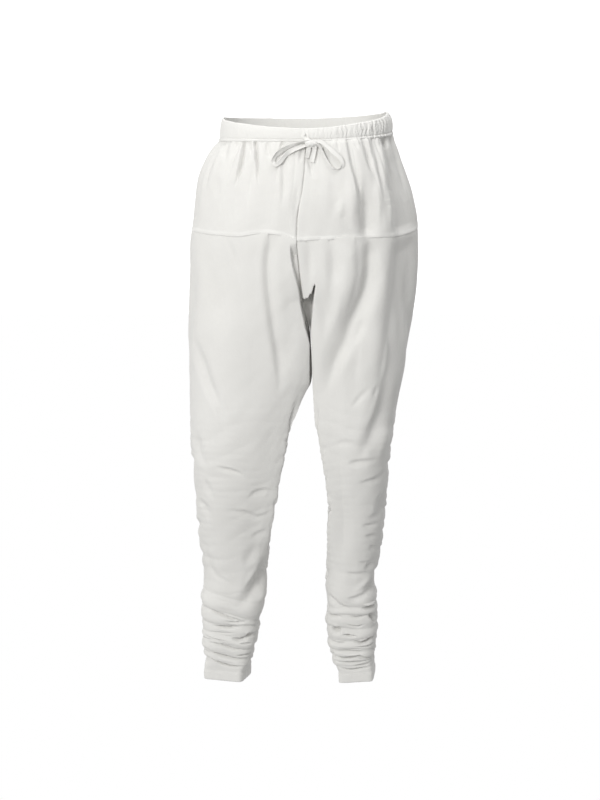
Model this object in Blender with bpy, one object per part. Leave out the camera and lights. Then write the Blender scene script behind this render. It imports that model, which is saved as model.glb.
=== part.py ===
"""Churidar trousers, worn form: a drawstring casing, a gathered hip yoke in two halves, two bias-cut
legs that close into tubes below the crotch and end in bunched churi folds, and the tape's bow.

The frame: +Z up, the front faces -Y, the wearer's right is -X. The origin is the middle of the
waist, where the wearer holds the garment. Lengths are in millimetres until the meshes are made.
"""

import bmesh
import bpy
import numpy as np

# ---- driving sizes -------------------------------------------------------------------------------

MM = 0.001
WALL = 1.4  # one layer of cotton with its crumple, modelled as a smooth wall
CASING_WALL = 3.0  # the casing's two layers and the tape that runs between them
SEAM_GAP = 0.3  # between pieces, at each seam
BAND_PROUD = 1.2  # the casing stands proud of the yoke by this much
CRINKLE = 1.3  # depth of the casing's puckers
SLIT_WIDTH = 2.4  # the tape's slit, in the casing's outer layer
SLIT_DEPTH = 1.8
SEAM_STRIP_HEIGHT = 7.0  # the pressed seam allowance at the yoke's foot
SEAM_STRIP_PROUD = 1.0
HEM_HEIGHT = 16.0  # the turned-up hem of each cuff
HEM_PROUD = 0.8
TAPE_WIDTH = 8.0
TAPE_THICKNESS = 1.6
KNOT = {"x": 9.0, "z": -25.5, "wide": 21.0, "tall": 11.0, "deep": 8.0, "proud": 5.8}

ROUND_HIP = 2.3  # exponent of the hip's superellipse: 2 is an ellipse, more is squarer
COLUMNS_PER_GATHER = 4
SIDES = {"right": -1, "left": 1}

COTTON = (0.86, 0.84, 0.78, 1.0)
TAPE_COTTON = (0.88, 0.86, 0.81, 1.0)


def table(names, rows):
    """A table as a dict from each column's name to its values."""
    return dict(zip(names.split(), np.array(rows, float).T, strict=True))


# The outline of hip and seat: half widths, and how far the front and the back stand from the sides.
HIP = table(
    "z right left front back",
    [
        (32, -135, 135, 100, 102),
        (12, -143, 145, 101, 103),
        (-10, -146, 148, 102, 104),
        (-24, -149, 151, 104, 106),
        (-36, -160, 156, 107, 110),
        (-56, -173, 163, 112, 117),
        (-90, -186, 176, 119, 127),
        (-125, -191, 186, 124, 133),
        (-160, -195, 192, 126, 136),
        (-195, -199, 194, 127, 137),
        (-230, -201, 194, 126, 135),
        (-265, -202, 192, 124, 133),
        (-300, -204, 189, 122, 129),
        (-340, -206, 183, 119, 125),
        (-370, -206, 179, 117, 122),
    ],
)

# Where the two halves meet, at the front and at the back.
MIDDLE = table(
    "z front back",
    [
        (32, 0, 0),
        (-24, 0, 0),
        (-90, -5, 0),
        (-160, -15, -1),
        (-230, -18, -3),
        (-300, -4, -4),
        (-345, 7, 7),
        (-400, 10, 10),
        (-440, 9, 9),
    ],
)

# How far the hip section has turned into the two leg sections, at the front and at the back.
CROTCH = table(
    "z front back",
    [
        (-190, 0, 0),
        (-240, 0.02, 0.0),
        (-275, 0.06, 0.03),
        (-298, 0.15, 0.10),
        (-310, 0.45, 0.26),
        (-325, 0.75, 0.52),
        (-340, 0.93, 0.82),
        (-354, 1, 1),
    ],
)
CROTCH_Z = -354.0

# Where the legs press on each other their inner sides are flat, and round again further down.
INNER_SIDE = table(
    "z square crowd",
    [
        (-300, 3.6, 0.75),
        (-400, 3.2, 0.65),
        (-445, 2.8, 0.5),
        (-500, 2.4, 0.25),
        (-570, 2.2, 0.0),
    ],
)

LEG_COLUMNS = "z outer inner centre depth square twist"
LEGS = {
    "right": table(
        LEG_COLUMNS,
        [
            (-290, -204, -6, 5, 238, 2.2, 0),
            (-345, -206, 7, 4, 230, 2.2, 0),
            (-403, -204, 10, 2, 216, 2.2, 0),
            (-429, -203, 8, 0, 208, 2.2, 0),
            (-445, -203, 0, -1, 204, 2.2, 0),
            (-473, -203, -12, -3, 197, 2.2, 0),
            (-509, -202, -24, -5, 186, 2.2, 0),
            (-545, -202, -33, -7, 174, 2.2, 0),
            (-580, -199, -40, -8, 162, 2.2, 0),
            (-616, -195, -47, -6, 150, 2.2, 0),
            (-652, -194, -51, -1, 141, 2.2, 0),
            (-688, -193, -59, 5, 132, 2.2, 0),
            (-724, -189, -63, 10, 122, 2.2, 0),
            (-761, -184, -67, 14, 112, 2.2, 0),
            (-797, -181, -69, 17, 105, 2.2, 0),
            (-834, -184, -73, 18, 100, 2.3, -3),
            (-870, -184, -83, 18, 93, 2.3, -5),
            (-907, -182, -89, 17, 84, 2.4, -8),
            (-940, -177, -97, 16, 72, 2.6, -11),
            (-965, -177, -101, 15, 64, 3.0, -12),
            (-990, -176, -102, 15, 62, 3.0, -12),
        ],
    ),
    "left": table(
        LEG_COLUMNS,
        [
            (-290, 190, -6, 5, 238, 2.2, 0),
            (-345, 182, 7, 4, 230, 2.2, 0),
            (-403, 174, 10, 2, 220, 2.2, 0),
            (-429, 168, 11, 0, 214, 2.2, 0),
            (-445, 165, 12, -1, 211, 2.2, 0),
            (-473, 160, 14, -3, 205, 2.2, 0),
            (-509, 155, 17, -5, 197, 2.2, 0),
            (-545, 150, 25, -7, 188, 2.2, 0),
            (-580, 146, 30, -8, 177, 2.2, 0),
            (-616, 144, 35, -6, 164, 2.2, 0),
            (-652, 142, 39, -1, 151, 2.2, 0),
            (-688, 140, 39, 5, 141, 2.2, 0),
            (-724, 137, 37, 10, 131, 2.2, 0),
            (-761, 131, 37, 14, 122, 2.2, 0),
            (-797, 121, 36, 17, 114, 2.2, 0),
            (-834, 124, 40, 18, 104, 2.3, -3),
            (-870, 127, 39, 18, 94, 2.3, -5),
            (-907, 125, 43, 17, 84, 2.4, -8),
            (-940, 121, 50, 16, 75, 2.6, -11),
            (-965, 123, 58, 15, 69, 3.0, -12),
            (-990, 122, 59, 15, 67, 3.0, -12),
        ],
    ),
}

# Heights of the casing's two edges and of the yoke's foot seam, by the angle from centre front.
BAND_TOP = {"front": -1.0, "right": 17.0, "left": 28.0, "back": 14.0}
BAND_FOOT = {"front": -23.0, "right": -24.0, "left": -12.0, "back": -15.0}
YOKE_SEAM = {
    "right": table(
        "deg z",
        [(0, -186), (25, -175), (48, -180), (70, -178), (90, -176), (130, -178), (180, -180)],
    ),
    "left": table(
        "deg z",
        [(0, -186), (30, -184), (58, -182), (78, -177), (95, -166), (130, -173), (180, -180)],
    ),
}
# Down the casing: the share of its height, how proud it stands, and its share of a pucker.
BAND_PROFILE = table(
    "share proud pucker",
    [
        (0, -0.6, 0.6),
        (0.05, 1.0, 0.9),
        (0.28, 1.0, 1.0),
        (0.6, 1.0, 1.0),
        (0.8, 0.3, 1.0),
        (0.88, 1.2, 0.8),
        (1.0, 0.4, 0.6),
    ],
)
SLIT_ROWS = (3, 4)  # the rows of the casing's profile between which the tape's slit lies

# The gathers below the casing: the creases between them, by their angle from centre front at the
# casing and at the yoke's foot, how deep they are, and how much of the yoke's height they run.
GATHER_COLUMNS = "top_deg foot_deg depth reach"
FRONT_GATHERS = {
    "right": table(
        GATHER_COLUMNS,
        [
            (0, 0, 0, 1.0),
            (9, 6, 4.0, 1.0),
            (16, 13, 2.2, 0.5),
            (22, 21, 4.2, 0.75),
            (31, 29, 2.2, 0.45),
            (40, 39, 4.2, 0.85),
            (48, 48, 1.8, 0.4),
            (54, 56, 5.0, 1.0),
            (64, 65, 2.4, 0.6),
            (76, 77, 3.6, 0.9),
        ],
    ),
    "left": table(
        GATHER_COLUMNS,
        [
            (0, 0, 0, 1.0),
            (7, 6, 3.0, 0.35),
            (13, 12, 2.6, 0.45),
            (21, 21, 1.8, 0.3),
            (30, 31, 2.4, 0.5),
            (38, 42, 5.6, 1.0),
            (49, 54, 4.2, 0.8),
            (57, 63, 4.4, 0.7),
            (66, 72, 3.6, 0.8),
            (77, 81, 3.8, 0.9),
        ],
    ),
}
BACK_GATHERS = 8  # on each half
BACK_GATHER_DEPTH = 3.8

# The folds of each leg, one straight trough a row, as seen from the front or the back: from one
# end to the other, its half width, its depth (a ridge's is negative).
FOLD_COLUMNS = "face x1 z1 x2 z2 width depth"
FRONT, BACK = -1, 1
FOLDS = {
    "right": table(
        FOLD_COLUMNS,
        [
            (FRONT, -66, -232, -62, -292, 16, 4),
            (FRONT, -62, -292, -54, -380, 15, 3),
            (FRONT, -190, -355, -170, -402, 14, 5),
            (FRONT, -170, -402, -146, -470, 16, 4),
            (FRONT, -115, -535, -92, -533, 11, 2.5),
            (FRONT, -146, -580, -98, -601, 12, 4),
            (FRONT, -130, -655, -78, -668, 13, 3.5),
            (FRONT, -168, -640, -154, -670, 12, 3),
            (FRONT, -82, -724, -124, -765, 14, 5),
            (FRONT, -90, -786, -128, -826, 12, 5),
            (BACK, -40, -215, -75, -330, 20, 5),
            (BACK, -150, -330, -105, -420, 18, 4),
            (BACK, -60, -470, -150, -520, 18, 4),
            (BACK, -165, -600, -85, -640, 16, 5),
            (BACK, -80, -690, -160, -725, 14, 4),
            (BACK, -165, -770, -90, -790, 13, 4),
        ],
    ),
    "left": table(
        FOLD_COLUMNS,
        [
            (FRONT, 100, -190, 93, -242, 17, 6),
            (FRONT, 93, -242, 76, -312, 17, 7),
            (FRONT, 76, -312, 36, -428, 15, 6),
            (FRONT, 122, -215, 82, -330, 16, -4),
            (FRONT, 123, -312, 104, -428, 15, 5),
            (FRONT, 138, -398, 104, -510, 14, 5),
            (FRONT, 56, -535, 84, -530, 11, 3),
            (FRONT, 70, -580, 108, -572, 12, 3.5),
            (FRONT, 84, -612, 128, -610, 11, 3.5),
            (FRONT, 92, -690, 128, -690, 9, 3),
            (FRONT, 98, -724, 130, -724, 9, 3),
            (FRONT, 66, -766, 116, -766, 10, 3.5),
            (FRONT, 74, -800, 112, -775, 11, -4),
            (BACK, 45, -215, 80, -330, 20, 5),
            (BACK, 140, -330, 95, -430, 18, 4),
            (BACK, 50, -500, 120, -530, 18, 4),
            (BACK, 130, -590, 60, -630, 16, 5),
            (BACK, 60, -690, 120, -715, 14, 4),
            (BACK, 120, -765, 60, -780, 13, 4),
        ],
    ),
}

# The churi: the crease above each fold, by its mean height and how much lower it is on the leg's
# inner side, and the fold's bulge and the direction in which it is fullest (0 outer, -90 front).
CHURI_COLUMNS = "z tilt bulge full_deg"
CHURIS = {
    "right": table(
        CHURI_COLUMNS,
        [
            (-790, 8, 4.0, -150),
            (-822, 12, 6.5, -20),
            (-853, 14, 5.0, -60),
            (-871, 6, 5.5, 170),
            (-889, 3, 5.0, -90),
            (-908, 12, 6.0, 0),
            (-928, 10, 4.5, -60),
            (-943, 9, 0, 0),
        ],
    ),
    "left": table(
        CHURI_COLUMNS,
        [
            (-797, -8, 6.5, 0),
            (-838, 2, 5.0, -30),
            (-853, 0, 6.0, 180),
            (-877, 1, 5.5, -20),
            (-899, 3, 5.0, -110),
            (-918, 0, 5.5, -20),
            (-933, 2, 4.5, 160),
            (-949, 0, 0, 0),
        ],
    ),
}
CHURI_STEPS = {0.0: 0.0, 0.36: 0.78, 0.74: 1.0}  # share of the way down: share of bulge

# The bow: each strand's middle line from the knot, seen from the front, how far it stands out of
# the cloth behind it, and how far its flat face has turned to the front (0 is edge on).
STRAND_COLUMNS = "x z out face_deg"
STRANDS = {
    "bow_loop_left": table(
        STRAND_COLUMNS,
        [
            (20.4, -22.8, 6.4, 60),
            (27, -24.5, 6.6, 60),
            (36, -32, 7.6, 65),
            (47, -41, 8.6, 70),
            (57, -51, 8.8, 70),
            (61, -61, 8.0, 60),
            (56, -69, 6.0, 50),
            (45, -68, 5.0, 45),
            (35, -56, 4.8, 45),
            (27, -41, 4.8, 40),
            (23.5, -33, 5.4, 40),
            (20.4, -29.5, 5.8, 40),
        ],
    ),
    "bow_loop_right": table(
        STRAND_COLUMNS,
        [
            (-2.4, -23.5, 6.2, 50),
            (-10, -25, 6.2, 50),
            (-26, -30, 7.0, 60),
            (-39, -36, 7.8, 65),
            (-50, -45, 7.8, 65),
            (-55, -56, 7.0, 60),
            (-50, -61, 6.0, 55),
            (-42, -55, 5.0, 45),
            (-33, -44, 4.8, 45),
            (-22, -37, 4.8, 40),
            (-10, -32, 5.6, 40),
            (-2.4, -30, 5.8, 40),
        ],
    ),
    "tape_end_left": table(
        STRAND_COLUMNS,
        [(14, -31.8, 4.4, 90), (14, -35, 3.8, 90), (12, -46, 2.9, 85), (9.5, -57, 2.9, 85)],
    ),
    "tape_end_right": table(
        STRAND_COLUMNS,
        [(4.5, -31.8, 4.4, 90), (4.5, -35, 3.6, 90), (3, -43, 3.0, 80), (1, -50, 3.2, 75)],
    ),
}
STRAND_STEP = 6.0  # length of tape between the swept sections
HEM = {"right": {"z": -976.0, "tilt": 6.0}, "left": {"z": -981.0, "tilt": 2.0}}
OPEN_ROWS = (-202, -226, -252, -276, -296, -311, -326, -341)  # down to the crotch
LEG_ROWS = (-378, -404, -432, -464, -500, -538, -578, -618, -660, -702, -740, -768)
INNER_CHURI_ROWS = (-800, -835, -870, -905, -938)


# ---- reading the tables --------------------------------------------------------------------------


def along(rows, name, at, by="z"):
    """A column read between its rows, by a smooth curve that doesn't overshoot them."""
    order = np.argsort(rows[by])
    x = rows[by][order]
    y = rows[name][order]
    step = np.diff(x)
    rise = np.diff(y) / step
    slope = np.zeros_like(y)
    slope[0] = rise[0]
    slope[-1] = rise[-1]
    same_way = rise[:-1] * rise[1:] > 0
    both = np.where(same_way, rise[:-1] + rise[1:], 1.0)
    slope[1:-1] = np.where(same_way, 2 * rise[:-1] * rise[1:] / both, 0.0)
    at = np.clip(at, x[0], x[-1])
    k = np.clip(np.searchsorted(x, at, side="right") - 1, 0, len(x) - 2)
    t = (at - x[k]) / step[k]
    return (
        y[k] * (1 + 2 * t) * (1 - t) ** 2
        + slope[k] * step[k] * t * (1 - t) ** 2
        + y[k + 1] * t * t * (3 - 2 * t)
        + slope[k + 1] * step[k] * t * t * (t - 1)
    )


def ease(t):
    """0 to 1 with level ends."""
    t = np.clip(t, 0, 1)
    return t * t * (3 - 2 * t)


# ---- the body's smooth form ----------------------------------------------------------------------
# s runs round one half: -1 centre front, 0 the side, 1 centre back. Below the crotch -1 and 1 are
# both the leg's inner side.


def superellipse(across, forward, turn, power):
    """Distance from the centre in direction turn, which is 0 across and 90 degrees forward."""
    c = np.abs(np.cos(turn)) / across
    d = np.abs(np.sin(turn)) / forward
    return (c**power + d**power) ** (-1 / power)


def hip(side, z, s):
    """A point of the hip section at height z."""
    front = s < 0
    turn = 0.5 * np.pi * s  # 0 at the side
    outer = along(HIP, side, z)
    middle = np.where(front, along(MIDDLE, "front", z), along(MIDDLE, "back", z))
    deep = np.where(front, along(HIP, "front", z), along(HIP, "back", z))
    r = superellipse(np.abs(outer), deep, turn, ROUND_HIP)
    x = middle + (outer - middle) * r * np.cos(turn) / np.abs(outer)
    return np.stack([x, r * np.sin(turn), z + 0 * s], axis=-1)


def leg(side, z, s):
    """A point of the leg's section at height z."""
    rows = LEGS[side]
    outer = along(rows, "outer", z)
    inner = along(rows, "inner", z)
    half = np.abs(outer - inner) / 2
    inward = np.where(np.abs(s) > 0.5, 1.0, 0.0)
    crowd = inward * along(INNER_SIDE, "crowd", z)
    turn = np.pi * s + crowd * np.sin(2 * np.pi * s) / 2
    power = np.maximum(along(rows, "square", z), inward * along(INNER_SIDE, "square", z))
    r = superellipse(half, along(rows, "depth", z) / 2, turn, power)
    x = SIDES[side] * r * np.cos(turn)
    y = r * np.sin(turn)
    twist = np.radians(along(rows, "twist", z))
    centre_x = (outer + inner) / 2
    centre_y = along(rows, "centre", z)
    return np.stack(
        [
            centre_x + x * np.cos(twist) - y * np.sin(twist),
            centre_y + x * np.sin(twist) + y * np.cos(twist),
            z + 0 * s,
        ],
        axis=-1,
    )


def body(side, z, s):
    """The smooth form: hip above, leg below, and the crotch's curve where one turns into the other."""
    to_back = ease(0.5 + 0.8 * s)
    front = along(CROTCH, "front", z)
    share = front + (along(CROTCH, "back", z) - front) * to_back
    at_hip = hip(side, z, s)
    return at_hip + (leg(side, z, s) - at_hip) * share[..., None]


def outward(side, z, s):
    """The unit normal of the smooth form."""
    ds, dz = 0.004, 1.0
    round_it = body(side, z, s + ds) - body(side, z, s - ds)
    up_it = body(side, z + dz, s) - body(side, z - dz, s)
    n = np.cross(round_it, up_it) * SIDES[side]
    return n / np.linalg.norm(n, axis=-1, keepdims=True)


def middle_at(z, s):
    """Where the two halves meet, at each point's own height."""
    return np.where(s < 0, along(MIDDLE, "front", z), along(MIDDLE, "back", z))


def keep_apart(side, points, s):
    """Keeps a half on its own side of the middle, half a seam's gap from it."""
    edge = middle_at(points[..., 2], s) + SIDES[side] * SEAM_GAP / 2
    x = points[..., 0]
    points[..., 0] = np.where(SIDES[side] > 0, np.maximum(x, edge), np.minimum(x, edge))
    return points


# ---- heights round the waist ---------------------------------------------------------------------


def edge_height(corners, side, s):
    """A height round the waist that is level across and slopes from the side to front and back."""
    share = np.abs(np.sin(0.5 * np.pi * s))
    end = np.where(s < 0, corners["front"], corners["back"])
    return corners[side] + (end - corners[side]) * share


def seam_height(side, s):
    """The height of the seam between yoke and leg."""
    return along(YOKE_SEAM[side], "z", 90 * (s + 1), by="deg")


# ---- gathers -------------------------------------------------------------------------------------


def uneven(k, seed):
    """A fixed number from -1 to 1 that differs from one k to the next."""
    return 2 * np.mod(np.sin(12.9898 * k + 78.233 * seed) * 43758.5453, 1.0) - 1


def gathers(side):
    """Every crease between two gathers of a half, front and back, ending at centre back."""
    front = FRONT_GATHERS[side]
    seed = 1 + SIDES[side]
    k = np.arange(BACK_GATHERS + 1)
    even = 90 + 90 * k / BACK_GATHERS
    free = (k > 0) & (k < BACK_GATHERS)
    top = even + 2.2 * uneven(k, seed) * free
    foot = even + 1.5 * uneven(k + 20, seed) * free
    depth = BACK_GATHER_DEPTH * (0.75 + 0.25 * uneven(k + 40, seed)) * (k < BACK_GATHERS)
    reach = 0.7 + 0.3 * uneven(k + 60, seed)
    return {
        "top_deg": np.append(front["top_deg"], top),
        "foot_deg": np.append(front["foot_deg"], foot),
        "depth": np.append(front["depth"], depth),
        "reach": np.append(front["reach"], reach),
    }


def gather_columns(side, per_gather):
    """The columns of a half as (s at the casing, s at the foot, crease number and share)."""
    rows = gathers(side)
    count = len(rows["top_deg"]) - 1
    at = np.arange(count * per_gather + 1) / per_gather
    crease = np.arange(count + 1)
    top = np.interp(at, crease, rows["top_deg"]) / 90 - 1
    foot = np.interp(at, crease, rows["foot_deg"]) / 90 - 1
    return top, foot, at


def gather_relief(side, at, down):
    """How far the cloth stands out of, or in from, the smooth yoke; down runs 0 to 1."""
    rows = gathers(side)
    crease = np.arange(len(rows["depth"]))
    depth = np.interp(at, crease, rows["depth"])
    reach = np.interp(at, crease, rows["reach"])
    fade = (0.55 + 0.45 * ease(down / 0.12)) * (1 - 0.88 * ease(down / reach))
    return depth * fade * (np.abs(np.sin(np.pi * at)) - 0.5)


# ---- folds of the legs ---------------------------------------------------------------------------


def fold_relief(side, points):
    """The troughs and ridges of FOLDS at points of the smooth form."""
    rows = FOLDS[side]
    relief = np.zeros(points.shape[:-1])
    for i in range(len(rows["face"])):
        ax, az = rows["x1"][i], rows["z1"][i]
        bx, bz = rows["x2"][i] - ax, rows["z2"][i] - az
        long = np.hypot(bx, bz)
        t = ((points[..., 0] - ax) * bx + (points[..., 2] - az) * bz) / long**2
        nearest = np.clip(t, 0, 1)
        off = np.hypot(points[..., 0] - ax - nearest * bx, points[..., 2] - az - nearest * bz)
        facing = ease((points[..., 1] * rows["face"][i] - 5) / 30)
        relief -= rows["depth"][i] * np.exp(-((off / rows["width"][i]) ** 2)) * facing
    return relief


# ---- churi ---------------------------------------------------------------------------------------


def tilted(z, tilt, s):
    """A height that is tilt lower on the leg's inner side and as much higher on its outer side."""
    return z + tilt * np.cos(np.pi * s)


def churi_rows(side, s):
    """The churi's rows as (heights, bulges), from the first crease to the last."""
    rows = CHURIS[side]
    made = []
    for k in range(len(rows["z"]) - 1):
        upper = tilted(rows["z"][k], rows["tilt"][k], s)
        lower = tilted(rows["z"][k + 1], rows["tilt"][k + 1], s)
        full = 0.65 + 0.35 * np.cos(np.pi * s - np.radians(rows["full_deg"][k]))
        for share, out in CHURI_STEPS.items():
            made.append((upper + (lower - upper) * share, rows["bulge"][k] * full * out))
    made.append((lower, 0 * s))
    return made


# ---- making the solids ---------------------------------------------------------------------------


def cloth(name, outer, inner, colour, closed_from=None, closed_all=False, missing=()):
    """One solid from an outer and an inner grid of points that share their edges' rows.

    Rows run down, columns run round with the last one at the end of the turn. From row closed_from
    on, the last column is the first one again.
    """
    vertices, faces, borders = [], [], []
    for grid in (outer, inner):
        start = len(vertices)
        height, width = grid.shape[:2]
        first_closed = 0 if closed_all else height if closed_from is None else closed_from
        vertices += (grid.reshape(-1, 3) * MM).tolist()

        def number(r, c, start=start, width=width, first_closed=first_closed):
            return start + r * width + (0 if r >= first_closed and c == width - 1 else c)

        sheet = []
        for r in range(height - 1):
            for c in range(width - 1):
                if (r, c) in missing:
                    continue
                a, b = number(r, c), number(r, c + 1)
                d, e = number(r + 1, c), number(r + 1, c + 1)
                sheet += [(a, d, b), (b, d, e)]
        used = {(p[i], p[(i + 1) % 3]) for p in sheet for i in range(3)}
        border = [edge for edge in used if edge[::-1] not in used]
        ends = {}
        for r in (*range(min(first_closed, height - 1) + 1), height - 1):
            for c in range(width):
                ends[number(r, c)] = (r if r < height - 1 else "foot", c)
        borders.append((border, ends))
        faces.append(sheet)
    (border, ends), (_, inner_ends) = borders
    mate = {place: v for v, place in inner_ends.items()}
    rim = []
    for a, b in border:
        c, d = mate[ends[a]], mate[ends[b]]
        rim += [(b, a, c), (b, c, d)]
    return make_object(name, vertices, faces[0] + [f[::-1] for f in faces[1]] + rim, colour)


def make_object(name, vertices, faces, colour):
    """A mesh object with its own material, without the vertices that no face uses."""
    used = sorted({v for f in faces for v in f})
    renumbered = {v: i for i, v in enumerate(used)}
    mesh = bpy.data.meshes.new(name)
    mesh.from_pydata([vertices[v] for v in used], [], [[renumbered[v] for v in f] for f in faces])
    mesh.update()
    mesh.shade_smooth()
    made = bpy.data.objects.new(name, mesh)
    bpy.context.scene.collection.objects.link(made)
    material = bpy.data.materials.new(name)
    material.use_nodes = True
    shader = material.node_tree.nodes["Principled BSDF"]
    shader.inputs["Base Color"].default_value = colour
    shader.inputs["Roughness"].default_value = 0.9
    mesh.materials.append(material)
    return made


def turned_out(side, grid):
    """The columns in the order that makes a grid's faces point outward."""
    return grid if SIDES[side] > 0 else grid[:, ::-1]


def make_yoke(side):
    top, foot, at = gather_columns(side, COLUMNS_PER_GATHER)
    rows = []
    band_foot = edge_height(BAND_FOOT, side, top) - SEAM_GAP / 2
    seam = seam_height(side, foot) + SEAM_GAP / 2
    strip = seam + SEAM_STRIP_HEIGHT
    for share in (0, 0.09, 0.26, 0.5, 0.8):
        rows.append((share, band_foot + (strip + 2 - band_foot) * share, 0.0))
    rows.append((1.0, strip + 2, 0.0))
    rows.append((1.0, strip, SEAM_STRIP_PROUD))
    rows.append((1.0, seam, SEAM_STRIP_PROUD))
    outer, inner = [], []
    for share, z, proud in rows:
        s = top + (foot - top) * share
        form = body(side, z, s)
        n = outward(side, z, s)
        relief = gather_relief(side, at, share)[:, None]
        outer.append(keep_apart(side, form + n * (relief + proud), s))
        inner.append(keep_apart(side, form + n * (relief - WALL), s))
    outer, inner = turned_out(side, np.array(outer)), turned_out(side, np.array(inner))
    return cloth(f"yoke_{side}", outer, inner, COTTON)


def make_leg(side):
    _, foot, _ = gather_columns(side, COLUMNS_PER_GATHER // 2)
    front = np.linspace(-1, 0, int((foot < -1e-9).sum()) + 1)
    back = np.linspace(0, 1, int((foot > 1e-9).sum()) + 1)
    even = np.concatenate([front, back[1:]])
    hem = HEM[side]

    def surface(z, s, out, apart=True):
        form = body(side, z, s)
        made = form + outward(side, z, s) * (fold_relief(side, form) + out)[:, None]
        return keep_apart(side, made, s) if apart else made

    def at_height(z):
        """The columns' places at a height: under the yoke they follow its gathers."""
        return foot + (even - foot) * ease((-190.0 - z) / 130)

    seam = seam_height(side, foot) - SEAM_GAP / 2
    upper = [(seam, foot)] + [(z + 0 * foot, at_height(z)) for z in OPEN_ROWS]
    upper += [(z + 0 * foot, even) for z in (CROTCH_Z, *LEG_ROWS)]
    outer = [surface(z, s, 0.0) for z, s in upper]
    inner = [surface(z, s, -WALL) for z, s in upper]
    for z, bulge in churi_rows(side, even):
        outer.append(surface(z, even, bulge))
    for z in INNER_CHURI_ROWS:
        inner.append(surface(z + 0 * even, even, -WALL))
    hem_z = tilted(hem["z"], hem["tilt"], even)
    outer.append(surface(hem_z + HEM_HEIGHT + 1, even, 0.0))
    outer.append(surface(hem_z + HEM_HEIGHT, even, HEM_PROUD))
    outer.append(surface(hem_z, even, HEM_PROUD))
    inner.append(surface(hem_z + HEM_HEIGHT, even, -WALL))
    inner.append(surface(hem_z, even, -WALL))
    outer, inner = turned_out(side, np.array(outer)), turned_out(side, np.array(inner))
    return cloth(f"leg_{side}", outer, inner, COTTON, closed_from=len(OPEN_ROWS) + 1)


def make_waistband():
    """The casing: one ring with puckers, a stitched ridge at its foot and the tape's slit."""
    columns = []
    for side in ("left", "right"):
        top, _, at = gather_columns(side, 2)
        slit_edge = np.degrees(SLIT_WIDTH / 2 / along(HIP, "front", -12.0)) / 90
        top = np.insert(top, 1, -1 + slit_edge)
        at = np.insert(at, 1, 0.0)
        half = list(zip([side] * len(top), top, at, strict=True))
        columns += half if side == "left" else half[::-1]
    outer, inner = [], []
    for row, (share, proud, pucker) in enumerate(zip(*BAND_PROFILE.values(), strict=True)):
        ring = []
        for side, s, at in columns:
            s = np.array([s])
            high = edge_height(BAND_TOP, side, s)
            z = high + (edge_height(BAND_FOOT, side, s) + SEAM_GAP / 2 - high) * share
            relief = CRINKLE * pucker * (np.abs(np.sin(np.pi * at)) - 1.0)
            in_slit = s[0] == -1 and row in SLIT_ROWS
            relief += BAND_PROUD * proud - (SLIT_DEPTH if in_slit else 0)
            ring.append((body(side, z, s) + outward(side, z, s) * relief)[0])
        outer.append(ring)
    for share in (0.0, 1.0):
        ring = []
        for side, s, _ in columns:
            s = np.array([s])
            high = edge_height(BAND_TOP, side, s)
            z = high + (edge_height(BAND_FOOT, side, s) + SEAM_GAP / 2 - high) * share
            ring.append((body(side, z, s) - outward(side, z, s) * (CASING_WALL - BAND_PROUD))[0])
        inner.append(ring)
    return cloth("waistband", np.array(outer), np.array(inner), COTTON, closed_all=True)


def front_of(x, z):
    """How far forward the smooth form's front is at a place seen from the front."""
    side = "left" if x > 0 else "right"
    s = np.linspace(-1, -0.3, 60)
    line = body(side, np.full(60, float(z)), s)
    order = np.argsort(line[:, 0])
    return float(np.interp(x, line[order, 0], line[order, 1]))


def smooth_line(points, step):
    """Points about a step apart on a Catmull-Rom curve through the given rows."""
    ends = np.vstack([2 * points[0] - points[1], points, 2 * points[-1] - points[-2]])
    made = []
    for a, b, c, d in zip(ends, ends[1:], ends[2:], ends[3:]):
        count = max(1, round(float(np.linalg.norm((c - b)[:3])) / step))
        for t in np.arange(count) / count:
            made.append(
                0.5 * (2 * b + (c - a) * t + (2 * a - 5 * b + 4 * c - d) * t**2
                       + (3 * b - a - 3 * c + d) * t**3)
            )
    return np.array([*made, points[-1]])


def make_strand(name, rows):
    """One stretch of tape: its flat section swept along its line."""
    points = [
        (x, front_of(x, z) - out, z, face)
        for x, z, out, face in zip(rows["x"], rows["z"], rows["out"], rows["face_deg"], strict=True)
    ]
    line = smooth_line(np.array(points), STRAND_STEP)
    place = line[:, :3]
    way = np.gradient(place, axis=0)
    way[:, 1] = np.where(np.arange(len(way)) % (len(way) - 1) == 0, 0, way[:, 1])
    way /= np.linalg.norm(way, axis=1, keepdims=True)
    back = np.array([0.0, 1.0, 0.0])
    across = np.cross(way, back)
    across /= np.linalg.norm(across, axis=1, keepdims=True)
    depth = np.cross(across, way)
    turn = np.radians(line[:, 3])[:, None]
    wide = depth * np.cos(turn) + across * np.sin(turn)
    thick = np.cross(way, wide)
    vertices, faces = [], []
    for a, b in ((1, 1), (-1, 1), (-1, -1), (1, -1)):
        vertices.append(place + wide * a * TAPE_WIDTH / 2 + thick * b * TAPE_THICKNESS / 2)
    vertices = np.stack(vertices, axis=1).reshape(-1, 3) * MM
    count = len(line)
    for i in range(count - 1):
        for k in range(4):
            a, b = 4 * i + k, 4 * i + (k + 1) % 4
            faces += [(a, b, a + 4), (b, b + 4, a + 4)]
    last = 4 * (count - 1)
    faces += [(0, 3, 2), (0, 2, 1), (last, last + 1, last + 2), (last, last + 2, last + 3)]
    make_object(name, vertices.tolist(), faces, TAPE_COTTON)


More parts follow.
